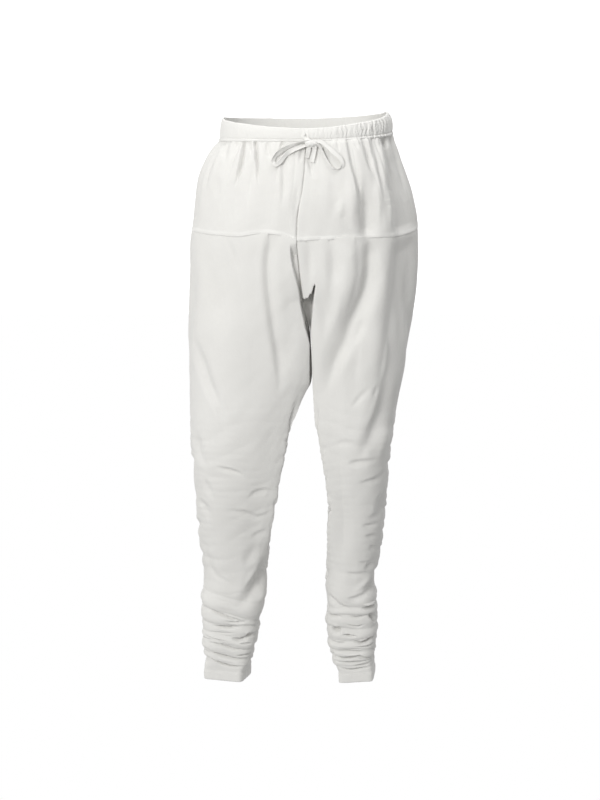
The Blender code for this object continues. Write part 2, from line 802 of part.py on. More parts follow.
def make_knot():
    """The knot between the two loops: a rounded lump of crossed tape."""
    mesh = bpy.data.meshes.new("bow_knot")
    made = bpy.data.objects.new("bow_knot", mesh)
    bpy.context.scene.collection.objects.link(made)
    form = bmesh.new()
    bmesh.ops.create_cube(form, size=1.0)
    bmesh.ops.scale(form, vec=(KNOT["wide"], KNOT["deep"], KNOT["tall"]), verts=form.verts)
    bmesh.ops.bevel(form, geom=form.edges[:], offset=2.6, segments=2, affect="EDGES", profile=0.5)
    bmesh.ops.triangulate(form, faces=form.faces[:])
    middle = (KNOT["x"], front_of(KNOT["x"], KNOT["z"]) - KNOT["proud"], KNOT["z"])
    bmesh.ops.translate(form, vec=middle, verts=form.verts)
    bmesh.ops.scale(form, vec=(MM, MM, MM), verts=form.verts)
    form.to_mesh(mesh)
    form.free()
    material = bpy.data.materials.new("bow_knot")
    material.use_nodes = True
    material.node_tree.nodes["Principled BSDF"].inputs["Base Color"].default_value = TAPE_COTTON
    mesh.materials.append(material)


def main():
    for old in list(bpy.data.objects):
        bpy.data.objects.remove(old, do_unlink=True)
    make_waistband()
    for side in SIDES:
        make_yoke(side)
        make_leg(side)
    make_knot()
    for name, rows in STRANDS.items():
        make_strand(name, rows)
    bpy.context.view_layer.update()


main()
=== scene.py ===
"""Looks for the churidar trousers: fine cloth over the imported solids' form, tape, stitching, light.

Lengths are in millimetres until a mesh is made. s runs round one half of the garment: -1 is centre
front, 0 the side, 1 centre back; below the crotch -1 and 1 both lie on the leg's inner side.
Right and left are the wearer's.
"""

import math

import bpy
import numpy as np
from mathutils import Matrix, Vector


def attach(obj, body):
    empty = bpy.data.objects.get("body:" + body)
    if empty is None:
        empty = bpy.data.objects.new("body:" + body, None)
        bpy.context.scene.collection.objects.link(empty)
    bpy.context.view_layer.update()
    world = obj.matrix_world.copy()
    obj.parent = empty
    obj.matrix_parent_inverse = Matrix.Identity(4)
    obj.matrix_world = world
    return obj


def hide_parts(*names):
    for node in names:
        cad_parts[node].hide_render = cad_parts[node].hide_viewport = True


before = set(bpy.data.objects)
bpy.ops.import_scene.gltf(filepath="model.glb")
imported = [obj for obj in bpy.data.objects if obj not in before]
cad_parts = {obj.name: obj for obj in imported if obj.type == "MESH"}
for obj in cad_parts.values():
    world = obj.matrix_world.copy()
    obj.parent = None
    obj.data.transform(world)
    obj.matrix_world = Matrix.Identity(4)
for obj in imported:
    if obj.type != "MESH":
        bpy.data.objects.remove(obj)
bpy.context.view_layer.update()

MM = 0.001
SIDES = {"right": -1, "left": 1}

# ---- sizes shared with the solids ----

SEAM_STRIP_HEIGHT = 7.0
SEAM_STRIP_PROUD = 1.0
HEM_HEIGHT = 16.0
HEM_PROUD = 0.8
TAPE_WIDTH = 8.0
KNOT = {"x": 9.0, "z": -25.5, "wide": 21.0, "tall": 11.0, "deep": 8.0, "proud": 5.8}
ROUND_HIP = 2.3
HALF_ROUND = 520.0  # the length over which a half's puckers are counted
CLOTH = 0.9  # thickness of the shell that is drawn
TUCK = 4.0  # how far a piece runs on under the piece that is sewn over its edge


def table(text):
    """A text table as a dict from each column's name to its values."""
    names, *rows = text.strip().splitlines()
    return dict(zip(names.split(), np.array([row.split() for row in rows], float).T, strict=True))


# ---- the camera, and places in its picture ----

# The lens and sensor are in millimetres, the place in metres and the turns in degrees.
CAMERA = {"lens": 85.0, "sensor": 36.0, "place": (0.0, -3.27, 0.03), "yaw": -0.180, "pitch": -8.75}
PICTURE = (600, 800)  # its width and height; places are across and down from the top left corner
# About how far forward the garment's front lies at each height.
FRONT_DEPTH = table("""
    z y
    0 -103
    -100 -120
    -200 -127
    -300 -122
    -400 -107
    -500 -97
    -580 -88
    -616 -80
    -652 -70
    -688 -60
    -724 -50
    -761 -42
    -797 -35
    -834 -31
    -870 -28
    -907 -25
    -940 -20
    -965 -16
    -990 -16
""")


def camera_axes():
    """The directions to the camera's right, up and ahead."""
    yaw, pitch = math.radians(CAMERA["yaw"]), math.radians(CAMERA["pitch"])
    level = math.cos(pitch)
    ahead = np.array([math.sin(yaw) * level, math.cos(yaw) * level, math.sin(pitch)])
    right = np.array([math.cos(yaw), -math.sin(yaw), 0.0])
    return right, np.cross(right, ahead), ahead


def on_front(across, down):
    """Where a point of the camera's picture lies on the front: x and z, to the millimetre."""
    right, up, ahead = camera_axes()
    focal = CAMERA["lens"] / CAMERA["sensor"] * max(PICTURE)
    sight = ahead + (across - PICTURE[0] / 2) / focal * right - (down - PICTURE[1] / 2) / focal * up
    place = np.array(CAMERA["place"]) / MM
    y = -100.0
    for _ in range(6):
        x, _, z = place + (y - place[1]) / sight[1] * sight
        y = np.interp(-z, -FRONT_DEPTH["z"], FRONT_DEPTH["y"])
    return round(float(x)), round(float(z))


FOLD_COLUMNS = ("width", "depth", "lean", "at_seam")
FOLD_STEP = 12.0  # about how far apart the points of a fold's smooth line are


def folds(text, place=None):
    """Folds given a row each, with its line's points after the bar.

    place makes millimetres of the points that are given in the camera's picture.
    """
    made = []
    for row in text.strip().splitlines():
        sizes, points = row.split("|")
        line = [tuple(float(v) for v in point.split(",")) for point in points.split()]
        fold = dict(zip(FOLD_COLUMNS, map(float, sizes.split()), strict=True))
        fold["line"] = np.array([place(*point) for point in line] if place else line, float)
        made.append(fold)
    return made


# ---- the form's sections, as the solids have them ----

HIP = table("""
    z right left front back
    32 -135 135 100 102
    12 -143 145 101 103
    -10 -146 148 102 104
    -24 -149 151 104 106
    -36 -160 156 107 110
    -56 -173 163 112 117
    -90 -186 176 119 127
    -125 -191 186 124 133
    -160 -195 192 126 136
    -195 -199 194 127 137
    -230 -201 194 126 135
    -265 -202 192 124 133
    -300 -204 189 122 129
    -340 -206 183 119 125
    -370 -206 179 117 122
""")
MIDDLE = table("""
    z front back
    32 0 0
    -24 0 0
    -90 -5 0
    -160 -15 -1
    -195 -15.5 -2
    -225 -13 -3
    -255 -10 -3
    -285 -6 -4
    -310 -1 -2
    -345 6.5 7
    -400 10 10
    -440 9 9
""")
CROTCH = table("""
    z front back
    -190 0 0
    -240 0.02 0
    -275 0.06 0.03
    -298 0.15 0.1
    -310 0.45 0.26
    -325 0.75 0.52
    -340 0.93 0.82
    -354 1 1
""")
CROTCH_Z = -354.0
INNER_SIDE = table("""
    z square crowd
    -300 1.4 0.75
    -400 1.2 0.65
    -445 0.8 0.5
    -480 0.5 0.35
    -570 0.2 0.1
    -700 0.1 0
    -790 0 0
""")
LEGS = {
    "right": table("""
    z outer inner centre depth square twist
    -290 -204 -6 5 238 2.2 0
    -345 -206 7 4 230 2.2 0
    -403 -204 10 2 216 2.2 0
    -429 -203 8 0 208 2.2 0
    -445 -203 0 -1 204 2.2 0
    -473 -203 -12 -3 197 2.2 0
    -509 -202 -24 -5 186 2.2 0
    -545 -202 -33 -7 174 2.2 0
    -580 -199 -40 -8 162 2.2 0
    -616 -195 -47 -6 150 2.2 0
    -652 -194 -51 -1 141 2.2 0
    -688 -193 -59 5 132 2.2 0
    -724 -189 -63 10 122 2.2 0
    -761 -184 -67 14 112 2.2 0
    -797 -181 -69 17 105 2.4 0
    -834 -184 -73 18 100 2.8 -3
    -870 -184 -83 18 93 3 -5
    -907 -182 -89 17 84 3.2 -8
    -940 -177 -97 16 72 3.6 -12
    -965 -177 -104 15 64 8 -16
    -990 -176 -105 15 62 9 -16
"""),
    "left": table("""
    z outer inner centre depth square twist
    -290 190 -6 5 238 2.2 0
    -345 182 7 4 230 2.2 0
    -403 174 10 2 220 2.2 0
    -429 168 11 0 214 2.2 0
    -445 165 12 -1 211 2.2 0
    -473 160 14 -3 205 2.2 0
    -509 155 17 -5 197 2.2 0
    -545 150 25 -7 188 2.2 0
    -580 146 30 -8 177 2.2 0
    -616 144 35 -6 164 2.2 0
    -652 142 39 -1 151 2.2 0
    -688 140 39 5 141 2.2 0
    -724 137 37 10 131 2.2 0
    -761 131 37 14 122 2.2 0
    -797 121 36 17 114 2.5 0
    -834 124 40 18 104 3 -3
    -870 127 39 18 94 3.2 -5
    -907 125 43 17 84 3.4 -8
    -940 121 50 16 75 3.6 -7
    -965 123 61 15 69 8 -6
    -990 122 62 15 67 9 -5
"""),
}
BAND_TOP = {"front": -1.0, "right": 17.0, "left": 28.0, "back": 14.0}
BAND_FOOT = {"front": -23.0, "right": -24.0, "left": -12.0, "back": -15.0}
YOKE_SEAM = {
    "right": table("""
    deg z
    0 -186
    25 -175
    48 -180
    70 -178
    90 -176
    130 -178
    180 -180
"""),
    "left": table("""
    deg z
    0 -186
    30 -184
    58 -182
    78 -177
    95 -166
    130 -173
    180 -180
"""),
}
HEM = {"right": {"z": -977.5, "tilt": 0.5}, "left": {"z": -979.5, "tilt": 3.5}}

# ---- gathers, folds and churi ----

FRONT_GATHERS = {
    "right": table("""
    top_deg foot_deg depth reach
    0 0 0 1
    9 6 4 1
    16 13 2.2 0.5
    22 21 4.2 0.75
    31 29 2.2 0.45
    40 39 4.2 0.85
    48 48 1.8 0.4
    54 56 5 1
    64 65 2.4 0.6
    76 77 3.6 0.9
"""),
    "left": table("""
    top_deg foot_deg depth reach
    0 0 0 1
    7 6 3 0.35
    13 12 2.6 0.45
    21 21 1.8 0.3
    30 31 2.4 0.5
    38 42 5.6 1
    49 54 4.2 0.8
    57 63 4.4 0.7
    66 72 3.6 0.8
    77 81 3.8 0.9
"""),
}
BACK_GATHERS = 8
BACK_GATHER_DEPTH = 3.8

# Folds as seen from one face: a fold's half width, its depth (a ridge's is negative),
# its lean (above 0 its shaded wall is the steeper one) and 1 if it starts at full depth, as at a
# seam. After the bar come the points of its line, which runs along a trough's shaded wall or a
# ridge's lit one: (across, down) in the camera's picture on the front, (x, z) in millimetres on the
# back and (y, z) at the sides.
LEG_FOLDS = {
    "right": {
        "front": folds("""
    9 6 0.25 1 | 268,238 265,260 265,282 269,312 273,342 277,374 277,402
    15 -3.2 0 1 | 290,240 292,268 293,296
    11 2.2 0 0 | 283,330 283,352 282,376
    11 2.4 0 0 | 275,330 277,365 276,398
    5 1.8 0 1 | 225,238 232,258 237,280
    8 6.5 0.2 0 | 188,334 196,358 203,378 213,398 220,416 226,436
    13 1.6 0 0 | 215,250 216,300 215,350
    7 3.4 0 0 | 190,430 197,455 208,474
    3.6 4.2 0.4 0 | 214,466 227,469 238,472 247,477
    6 3.4 0.4 0 | 245,499 255,492 265,490 276,493
    5 3.6 0.3 0 | 226,508 242,511 256,517 266,514 274,507
    5 2.6 0 0 | 203,478 208,492 215,503
    6 3.4 0 0 | 195,500 203,508 206,524
    6 2.4 0.3 0 | 248,539 258,533 270,528
    9 3 0 0 | 240,566 248,555 256,543
    5 2 0 0 | 203,543 207,560 214,574 236,583
    14 12 0 0 | 266,552 261,570 253,584 243,595 230,604
    5 -2.6 0 0 | 259,561 250,576 240,590
    6 -3 0 0 | 266,582 261,596 254,606
""", on_front),
        "back": folds("""
    16 6.5 0.3 1 | -26,-184 -40,-260 -66,-330 -98,-400
    14 4.5 -0.3 1 | -92,-184 -104,-240 -128,-300
    15 6 0.3 0 | -150,-300 -128,-370 -96,-430 -60,-466
    13 4.6 0 0 | -22,-350 -36,-400 -50,-452
    12 5 0.3 0 | -60,-470 -96,-492 -140,-508
    10 3.6 0.3 0 | -176,-520 -140,-545 -100,-556
    8 3.6 0.3 0 | -60,-574 -92,-590 -126,-596
    9 5 -0.3 0 | -170,-606 -130,-630 -84,-640
    7 3.4 0.3 0 | -64,-660 -94,-672 -120,-670
    8 4 0.3 0 | -172,-682 -140,-700 -96,-706
    8 4.2 -0.3 0 | -74,-722 -104,-740 -150,-744
    8 4.4 0.3 0 | -168,-764 -130,-784 -86,-790
"""),
        "outer": folds("""
    20 5 0.2 0 | -64,-200 -50,-290 -20,-380 4,-430
    16 4.6 -0.2 0 | 40,-300 30,-380 6,-450 -12,-500
    9 4 0.3 0 | -52,-560 -10,-574 36,-570
    8 3.8 -0.3 0 | 46,-620 10,-636 -34,-632
    8 4 0.3 0 | -40,-676 0,-690 44,-688
    8 4 0.3 0 | 48,-726 14,-742 -26,-744
"""),
        "inner": folds("""
    14 4.2 0.2 0 | -70,-450 -30,-500 20,-540
    10 4.2 0.3 0 | 52,-556 14,-582 -34,-592
    9 4 0.3 0 | -44,-636 0,-650 46,-648
    9 4.4 -0.3 0 | 54,-700 20,-718 -20,-722
    8 4 0.3 0 | -24,-766 12,-778 50,-774
"""),
    },
    "left": {
        "front": folds("""
    38 -5 0 1 | 333,236 328,280 320,320
    14 13 0 1 | 364,230 366,250 366,270 362,288 355,305 347,322 339,342 330,359 322,382 313,404
    7 2.6 0 1 | 306,243 307,262 308,288
    7 2.8 0 1 | 355,245 355,275 350,298 342,318
    7 -2 0 1 | 373,238 377,258 372,284
    10 4.2 0 1 | 328,243 330,265 326,294
    10 -3.4 0 0 | 341,250 340,280 333,310 322,345 317,364
    24 13 0.3 1 | 400,226 398,262 393,300 387,338 381,370 376,398
    5 -2.6 0 0 | 389,335 385,362 379,388
    4 1.7 0 0 | 370,384 359,396 348,410
    3.5 2.4 0 0 | 377,383 371,402
    13 8 0 0 | 384,370 382,392 376,413 369,430 360,446 349,462
    9 -5 0 0 | 385,420 381,442 374,464
    6 -2.6 0 0 | 377,388 371,412 361,432
    6 3 0 0 | 364,314 357,332 349,348
    4.4 1.4 0.3 0 | 330,445 345,440 361,441
    5 3.4 0.4 0 | 343,465 352,461 365,459 380,458
    5 3.6 0.4 0 | 355,482 368,480 380,476 387,466
    8 6 0.2 0 | 386,488 380,500 376,513 364,518
    4 3.6 0.3 0 | 360,525 370,524 381,523
    4 3.4 0.3 0 | 364,535 373,535 381,538
    4 3.4 0.3 0 | 368,546 380,548
    4 3.2 0.3 0 | 357,560 368,562 379,558
    5 4.6 0.3 0 | 363,568 378,563
    4 3.2 0.3 0 | 344,571 358,573 372,571
    13 1.8 0 0 | 342,495 341,530 340,560
    8 8.5 0.2 0 | 379,575 372,584 360,592
    5 -2.4 0 0 | 371,573 362,583 352,590
    5 4 0.3 0 | 345,596 356,595 370,589
    4.5 4.4 0.3 0 | 326,592 337,602 354,608
""", on_front),
        "back": folds("""
    16 6.5 -0.3 1 | 24,-184 40,-256 68,-330 96,-396
    14 4.5 0.3 1 | 96,-180 106,-240 124,-296
    15 6 -0.3 0 | 140,-310 122,-372 92,-430 58,-462
    12 4.2 0 0 | 24,-350 34,-400 44,-450
    11 4.6 -0.3 0 | 52,-494 84,-512 118,-520
    9 4.2 0.3 0 | 134,-560 100,-582 60,-590
    8 4.2 -0.3 0 | 56,-622 88,-638 120,-636
    8 4 0.3 0 | 128,-666 96,-680 62,-682
    7 3.8 0.3 0 | 54,-712 86,-724 118,-722
    8 4.4 -0.3 0 | 124,-754 92,-770 56,-774
"""),
        "outer": folds("""
    20 5 -0.2 0 | -66,-200 -54,-290 -24,-380 0,-440
    16 4.6 0.2 0 | 44,-300 34,-390 8,-460 -10,-520
    8 4.2 0.3 0 | -60,-566 -20,-580 26,-576
    7 3.8 0.3 0 | 44,-612 10,-628 -40,-622
    6 3.6 0.3 0 | -54,-650 -10,-662 36,-660
    6 3.6 0.3 0 | 46,-690 10,-702 -40,-697
    6 3.6 0.3 0 | -44,-724 0,-736 40,-734
    6 3.8 0.3 0 | 46,-766 12,-776 -26,-772
"""),
        "inner": folds("""
    14 4.2 -0.2 0 | -70,-456 -30,-504 18,-540
    10 4.2 0.3 0 | 54,-560 14,-584 -36,-592
    9 4.2 0.3 0 | -46,-638 0,-654 48,-650
    9 4.4 0.3 0 | 56,-700 20,-718 -24,-724
    8 4 0.3 0 | -26,-770 10,-780 52,-776
"""),
    },
}
YOKE_FOLDS = {
    "right": {
        "front": folds("""
    2.6 8 0 1 | 243,142 240,160 237,174 232,190
    2.4 6.5 0 1 | 254,142 256,162 257,186
    5 2.6 0 1 | 223,141 223,166
    5 3 0.2 1 | 281,146 282,168 282,190 279,212
    6 1.4 0 0 | 213,172 213,204
    12 2 0 0 | 226,176 229,204 225,236
    3 1.8 0 1 | 266,146 269,160
    2.6 1.8 0 1 | 234,144 231,158
    2.6 1.4 0 1 | 249,144 250,156
    14 1.6 0 0 | 263,176 262,205 264,234
    11 1.8 0 0 | 207,158 203,190 201,226
    6 2 0 0 | 296,178 294,208 294,238
    3 2 0 1 | 302,146 298,164
""", on_front),
        "back": folds("""
    7 3.6 0.3 1 | -24,-16 -26,-70 -32,-130
    5 3 0.3 1 | -52,-17 -56,-60 -66,-110
    8 4.2 -0.3 1 | -78,-18 -86,-70 -98,-170
    5 3 0.3 1 | -104,-20 -114,-60 -130,-104
    7 3.4 0.3 1 | -126,-22 -144,-70 -160,-130
    14 2.6 0 0 | -40,-100 -46,-140 -44,-180
"""),
        "outer": folds("""
    6 3.2 0.3 1 | -50,-24 -60,-70 -64,-120
    5 2.8 0.3 1 | -18,-24 -20,-66 -26,-104
    8 3.6 -0.3 1 | 14,-22 16,-80 22,-150
    5 3 0.3 1 | 46,-20 54,-66 60,-110
"""),
    },
    "left": {
        "front": folds("""
    42 -6 0 1 | 333,146 333,190 334,240
    4.2 6 0.3 1 | 346,138 350,160 355,178 358,200 359,222
    12 11 0.1 1 | 365,246 364,225 362,200 358,172
    9 -3.2 0 0 | 345,172 347,200 349,235
    4 5.4 0 1 | 361,139 366,157 372,178
    3 3 0 1 | 368,138 371,150 373,164
    4.2 5.2 0.1 1 | 371,138 376,160 381,184 383,206
    6 -3 0 0 | 374,170 376,200 377,234
    5.5 6 0.2 1 | 382,138 388,162 394,190 398,236
    5 -2.6 0 0 | 387,182 390,206 391,234
    4.4 4.2 0.2 1 | 389,137 396,158 404,180
    2.6 2.6 0 1 | 352,139 356,152
    2.6 2.4 0 1 | 357,139 360,150
    2.6 2.8 0 1 | 378,138 381,152
    2.6 2.4 0 1 | 386,138 390,150
    3.6 2.6 0 1 | 394,138 401,154 409,172
    3.6 2.4 0 0 | 306,152 309,165 312,180
    3 1.8 0 1 | 316,150 315,166
    9 2.2 0 0 | 329,174 331,200 327,222
    6 -1.8 0 0 | 340,196 337,222
    3 1.6 0 1 | 321,144 323,158
    3 1.8 0 1 | 336,142 338,154
    24 13 0.3 1 | 400,244 398,206 392,170 387,140
""", on_front),
        "back": folds("""
    7 3.6 -0.3 1 | 22,-16 26,-70 30,-124
    5 3 0.3 1 | 48,-16 54,-60 62,-104
    8 4.2 0.3 1 | 76,-16 86,-76 96,-168
    5 3 0.3 1 | 102,-15 114,-60 128,-100
    7 3.4 0.3 1 | 126,-14 142,-70 156,-130
    14 2.6 0 0 | 44,-100 50,-140 46,-180
"""),
        "outer": folds("""
    5 3.4 0.3 1 | -56,-12 -64,-60 -70,-104
    6 3.4 -0.3 1 | -34,-12 -38,-56 -46,-116
    5 2.8 0.3 1 | -10,-12 -12,-66 -16,-100
    8 3.6 0.3 1 | 18,-12 20,-80 26,-150
    5 3 0.3 1 | 48,-12 56,-66 62,-110
"""),
    },
}
# Where the bunched folds meet and run into each other, with the small dark pockets between them, all
# of them on the front.
CHURI_FOLDS = {
    "right": folds("""
    1.9 5.9 0.4 0 | 204,607 215,611 228,616 240,619 250,620
    1.6 4.9 0.4 0 | 224,619 236,621 250,620
    1.9 7.5 0.4 0 | 212,625 228,626 243,625
    3.2 7.8 0.3 0 | 230,637 240,638 252,634
    4 6.5 0 0 | 245,635 254,632
    1.8 4.2 0.3 0 | 203,634 214,638 230,640
    1.9 6.8 0.4 0 | 205,641 221,644 236,648 252,649
    2.1 7.8 0.4 0 | 204,646 213,651 226,655 240,658 253,657
    1.6 5.9 0.4 0 | 236,654 252,653
    2.2 8.1 0.4 0 | 204,654 215,660 230,664 248,665
    1.6 2.9 0.3 0 | 208,631 224,632 238,631
    1.6 4.2 0.3 0 | 238,642 252,642
    3.4 6.5 0 0 | 201,648 206,650
""", on_front),
    "left": folds("""
    1.9 6.2 0.4 0 | 324,615 334,615 344,616
    1.8 4.5 0.4 0 | 348,615 358,616 368,614
    4.6 11.7 0 0 | 332,628 337,629 342,627
    3.4 10.4 0 0 | 368,612 372,618 374,626
    1.9 -3.9 0 0 | 362,603 370,603 378,601
    1.9 7.5 0.3 0 | 360,607 370,607 379,604
    1.8 7.5 0.4 0 | 342,634 350,634 358,635
    2.2 9.8 0.4 0 | 350,638 361,641 371,637 379,629
    1.8 4.2 0.3 0 | 328,640 338,643 348,642
    1.8 5.5 0.4 0 | 333,651 350,650 370,650
    2.1 9.1 0.4 0 | 331,655 345,657 353,655 359,654 367,657 376,655
    1.8 5.2 0.3 0 | 331,660 350,661 375,659
    1.9 7.8 0.4 0 | 337,666 350,669 362,667 374,665
    1.6 4.9 0.3 0 | 352,665 364,663 374,661
    3.4 6.5 0 0 | 331,653 335,659
    1.9 3.6 0.3 0 | 346,622 358,625 366,622
    1.6 4.2 0.3 0 | 355,645 368,645 376,642
""", on_front),
}
# The fine lines between the bunched folds, at the leg's front: their height and tilt.
CHURI_LINES = {
    "right": [
        (-812, 4), (-828, 10), (-845, 13), (-858, 9), (-871, 3), (-883, 5), (-895, 9),
        (-906, 12), (-917, 11), (-928, 10), (-939, 8), (-947, 7),
    ],
    "left": [
        (-806, -6), (-824, -2), (-839, 2), (-853, 1), (-866, -2), (-878, 1), (-889, 3),
        (-900, 0), (-911, 2), (-920, 0), (-931, 3), (-941, 0), (-949, 0),
    ],
}

CHURIS = {
    "right": table("""
    z tilt bulge full_deg
    -798 8 1.7 -150
    -822 12 4.3 -20
    -853 14 3.3 -60
    -871 6 3.6 170
    -889 3 3.3 -90
    -908 12 4 0
    -928 10 3 -60
    -943 9 0 0
"""),
    "left": table("""
    z tilt bulge full_deg
    -797 -8 4.3 0
    -838 2 3.3 -30
    -853 0 4 180
    -877 1 3.6 -20
    -899 3 3.3 -110
    -918 0 3.6 -20
    -933 2 3 160
    -949 0 0 0
"""),
}

# ---- reading the tables ----


def along(rows, name, at, by="z"):
    """A column read between its rows, by a smooth curve that doesn't overshoot them."""
    order = np.argsort(rows[by])
    x = rows[by][order]
    y = rows[name][order]
    step = np.diff(x)
    rise = np.diff(y) / step
    slope = np.zeros_like(y)
    slope[0] = rise[0]
    slope[-1] = rise[-1]
    same_way = rise[:-1] * rise[1:] > 0
    both = np.where(same_way, rise[:-1] + rise[1:], 1.0)
    slope[1:-1] = np.where(same_way, 2 * rise[:-1] * rise[1:] / both, 0.0)
    at = np.clip(at, x[0], x[-1])
    k = np.clip(np.searchsorted(x, at, side="right") - 1, 0, len(x) - 2)
    t = (at - x[k]) / step[k]
    return (
        y[k] * (1 + 2 * t) * (1 - t) ** 2
        + slope[k] * step[k] * t * (1 - t) ** 2
        + y[k + 1] * t * t * (3 - 2 * t)
        + slope[k + 1] * step[k] * t * t * (t - 1)
    )


def front_or_back(rows, z, s):
    """A table's front column on the front half of the garment, and its back column behind."""
    return np.where(s < 0, along(rows, "front", z), along(rows, "back", z))


def ease(t):
    """0 to 1 with level ends."""
    t = np.clip(t, 0, 1)
    return t * t * (3 - 2 * t)


def bell(t, power=2):
    """1 in the middle and next to nothing from 2 on, either way; a higher power has a flatter top."""
    return np.exp(-(t**power))


def unit(way):
    return way / np.linalg.norm(way, axis=-1, keepdims=True)


# ---- the smooth form, as the solids have it ----


def superellipse(across, forward, turn, power):
    c = np.abs(np.cos(turn)) / across
    d = np.abs(np.sin(turn)) / forward
    return (c**power + d**power) ** (-1 / power)


def hip(side, z, s):
    turn = 0.5 * np.pi * s
    outer = along(HIP, side, z)
    middle = front_or_back(MIDDLE, z, s)
    r = superellipse(np.abs(outer), front_or_back(HIP, z, s), turn, ROUND_HIP)
    x = middle + (outer - middle) * r * np.cos(turn) / np.abs(outer)
    return np.stack([x, r * np.sin(turn), z + 0 * s], axis=-1)


def leg(side, z, s):
    rows = LEGS[side]
    outer = along(rows, "outer", z)
    inner = along(rows, "inner", z)
    half = np.abs(outer - inner) / 2
    inward = np.where(np.abs(s) > 0.5, 1.0, 0.0)
    crowd = inward * along(INNER_SIDE, "crowd", z)
    turn = np.pi * s + crowd * np.sin(2 * np.pi * s) / 2
    power = along(rows, "square", z) + inward * along(INNER_SIDE, "square", z)
    r = superellipse(half, along(rows, "depth", z) / 2, turn, power)
    x = SIDES[side] * r * np.cos(turn)
    y = r * np.sin(turn)
    twist = np.radians(along(rows, "twist", z))
    return np.stack(
        [
            (outer + inner) / 2 + x * np.cos(twist) - y * np.sin(twist),
            along(rows, "centre", z) + x * np.sin(twist) + y * np.cos(twist),
            z + 0 * s,
        ],
        axis=-1,
    )


def body(side, z, s):
    to_back = ease(0.5 + 0.8 * s)
    front = along(CROTCH, "front", z)
    share = front + (along(CROTCH, "back", z) - front) * to_back
    at_hip = hip(side, z, s)
    return at_hip + (leg(side, z, s) - at_hip) * share[..., None]


def outward(side, z, s):
    ds, dz = 0.004, 1.0
    round_it = body(side, z, s + ds) - body(side, z, s - ds)
    up_it = body(side, z + dz, s) - body(side, z - dz, s)
    return unit(np.cross(round_it, up_it) * SIDES[side])


def keep_apart(side, points, s):
    """Keeps a half on its own side of the middle, where the seam is."""
    z = points[..., 2]
    edge = front_or_back(MIDDLE, z, s) + SIDES[side] * 0.02
    x = points[..., 0]
    points[..., 0] = np.where(SIDES[side] > 0, np.maximum(x, edge), np.minimum(x, edge))
    return points


def edge_height(corners, side, s):
    share = np.abs(np.sin(0.5 * np.pi * s))
    end = np.where(s < 0, corners["front"], corners["back"])
    return corners[side] + (end - corners[side]) * share


def seam_height(side, s):
    return along(YOKE_SEAM[side], "z", 90 * (s + 1), by="deg")


def tilted(z, tilt, s):
    return z + tilt * np.cos(np.pi * s)


def front_of(x, z):
    """How far forward the smooth form's front is at a place seen from the front."""
    side = "left" if x > 0 else "right"
    s = np.linspace(-1, -0.3, 60)
    line = body(side, np.full(60, float(z)), s)
    order = np.argsort(line[:, 0])
    return float(np.interp(x, line[order, 0], line[order, 1]))


# ---- relief: gathers ----


def uneven(k, seed):
    """A fixed number from -1 to 1 that differs from one k to the next."""
    return 2 * np.mod(np.sin(12.9898 * k + 78.233 * seed) * 43758.5453, 1.0) - 1


def gathers(side):
    front = FRONT_GATHERS[side]
    seed = 1 + SIDES[side]
    k = np.arange(BACK_GATHERS + 1)
    even = 90 + 90 * k / BACK_GATHERS
    free = (k > 0) & (k < BACK_GATHERS)
    top = even + 2.2 * uneven(k, seed) * free
    foot = even + 1.5 * uneven(k + 20, seed) * free
    depth = BACK_GATHER_DEPTH * (0.75 + 0.25 * uneven(k + 40, seed)) * (k < BACK_GATHERS)
    reach = 0.7 + 0.3 * uneven(k + 60, seed)
    return {
        "top_deg": np.append(front["top_deg"], top),
        "foot_deg": np.append(front["foot_deg"], foot),
        "depth": np.append(front["depth"], depth),
        "reach": np.append(front["reach"], reach),
    }


def gather_place(side, down, s):
    """Which gather a point lies in, as the crease's number and the share of the way to the next."""
    rows = gathers(side)
    crease = np.arange(len(rows["depth"]))
    at = np.zeros_like(s)
    for i in range(len(down)):
        share = float(down[i, 0])
        lines = (rows["top_deg"] + (rows["foot_deg"] - rows["top_deg"]) * share) / 90 - 1
        at[i] = np.interp(s[i], lines, crease)
    return at


def gather_relief(side, at, down):
    """The main gathers, as round tubes between sharp creases."""
    rows = gathers(side)
    crease = np.arange(len(rows["depth"]))
    depth = np.interp(at, crease, rows["depth"])
    reach = np.interp(at, crease, rows["reach"])
    fade = (0.55 + 0.45 * ease(down / 0.12)) * (1 - 0.88 * ease(down / reach))
    tube = np.abs(np.sin(np.pi * at))
    near = np.abs(at - np.round(at))
    return depth * fade * (tube**0.85 - 0.5 - 0.22 * bell(near / 0.07))


def pucker_relief(side, s, drop, depth, spacing, reach):
    """Small tight puckers that fan out of the casing: drop is the distance below it."""
    count = int(HALF_ROUND / spacing)
    k = np.arange(count + 1)
    seed = 5 + SIDES[side] + spacing
    place = (k + 0.35 * uneven(k, seed)) / count * 2 - 1
    place[0], place[-1] = -1, 1
    strength = 0.55 + 0.45 * uneven(k + 7, seed)
    long = reach * (0.6 + 0.4 * uneven(k + 13, seed))
    at = np.interp(s, place, k)
    power = np.interp(at, k, strength)
    far = np.interp(at, k, long)
    return depth * power * (np.abs(np.sin(np.pi * at)) - 0.5) * (1 - ease(drop / far))


# ---- relief: creases ----


def facing(normal, side, face):
    """How much a point faces the way from which a face's folds are seen, from 0 to 1."""
    towards = {
        "front": -normal[..., 1],
        "back": normal[..., 1],
        "outer": SIDES[side] * normal[..., 0],
        "inner": -SIDES[side] * normal[..., 0],
    }[face]
    return ease((towards - 0.05) / 0.45)


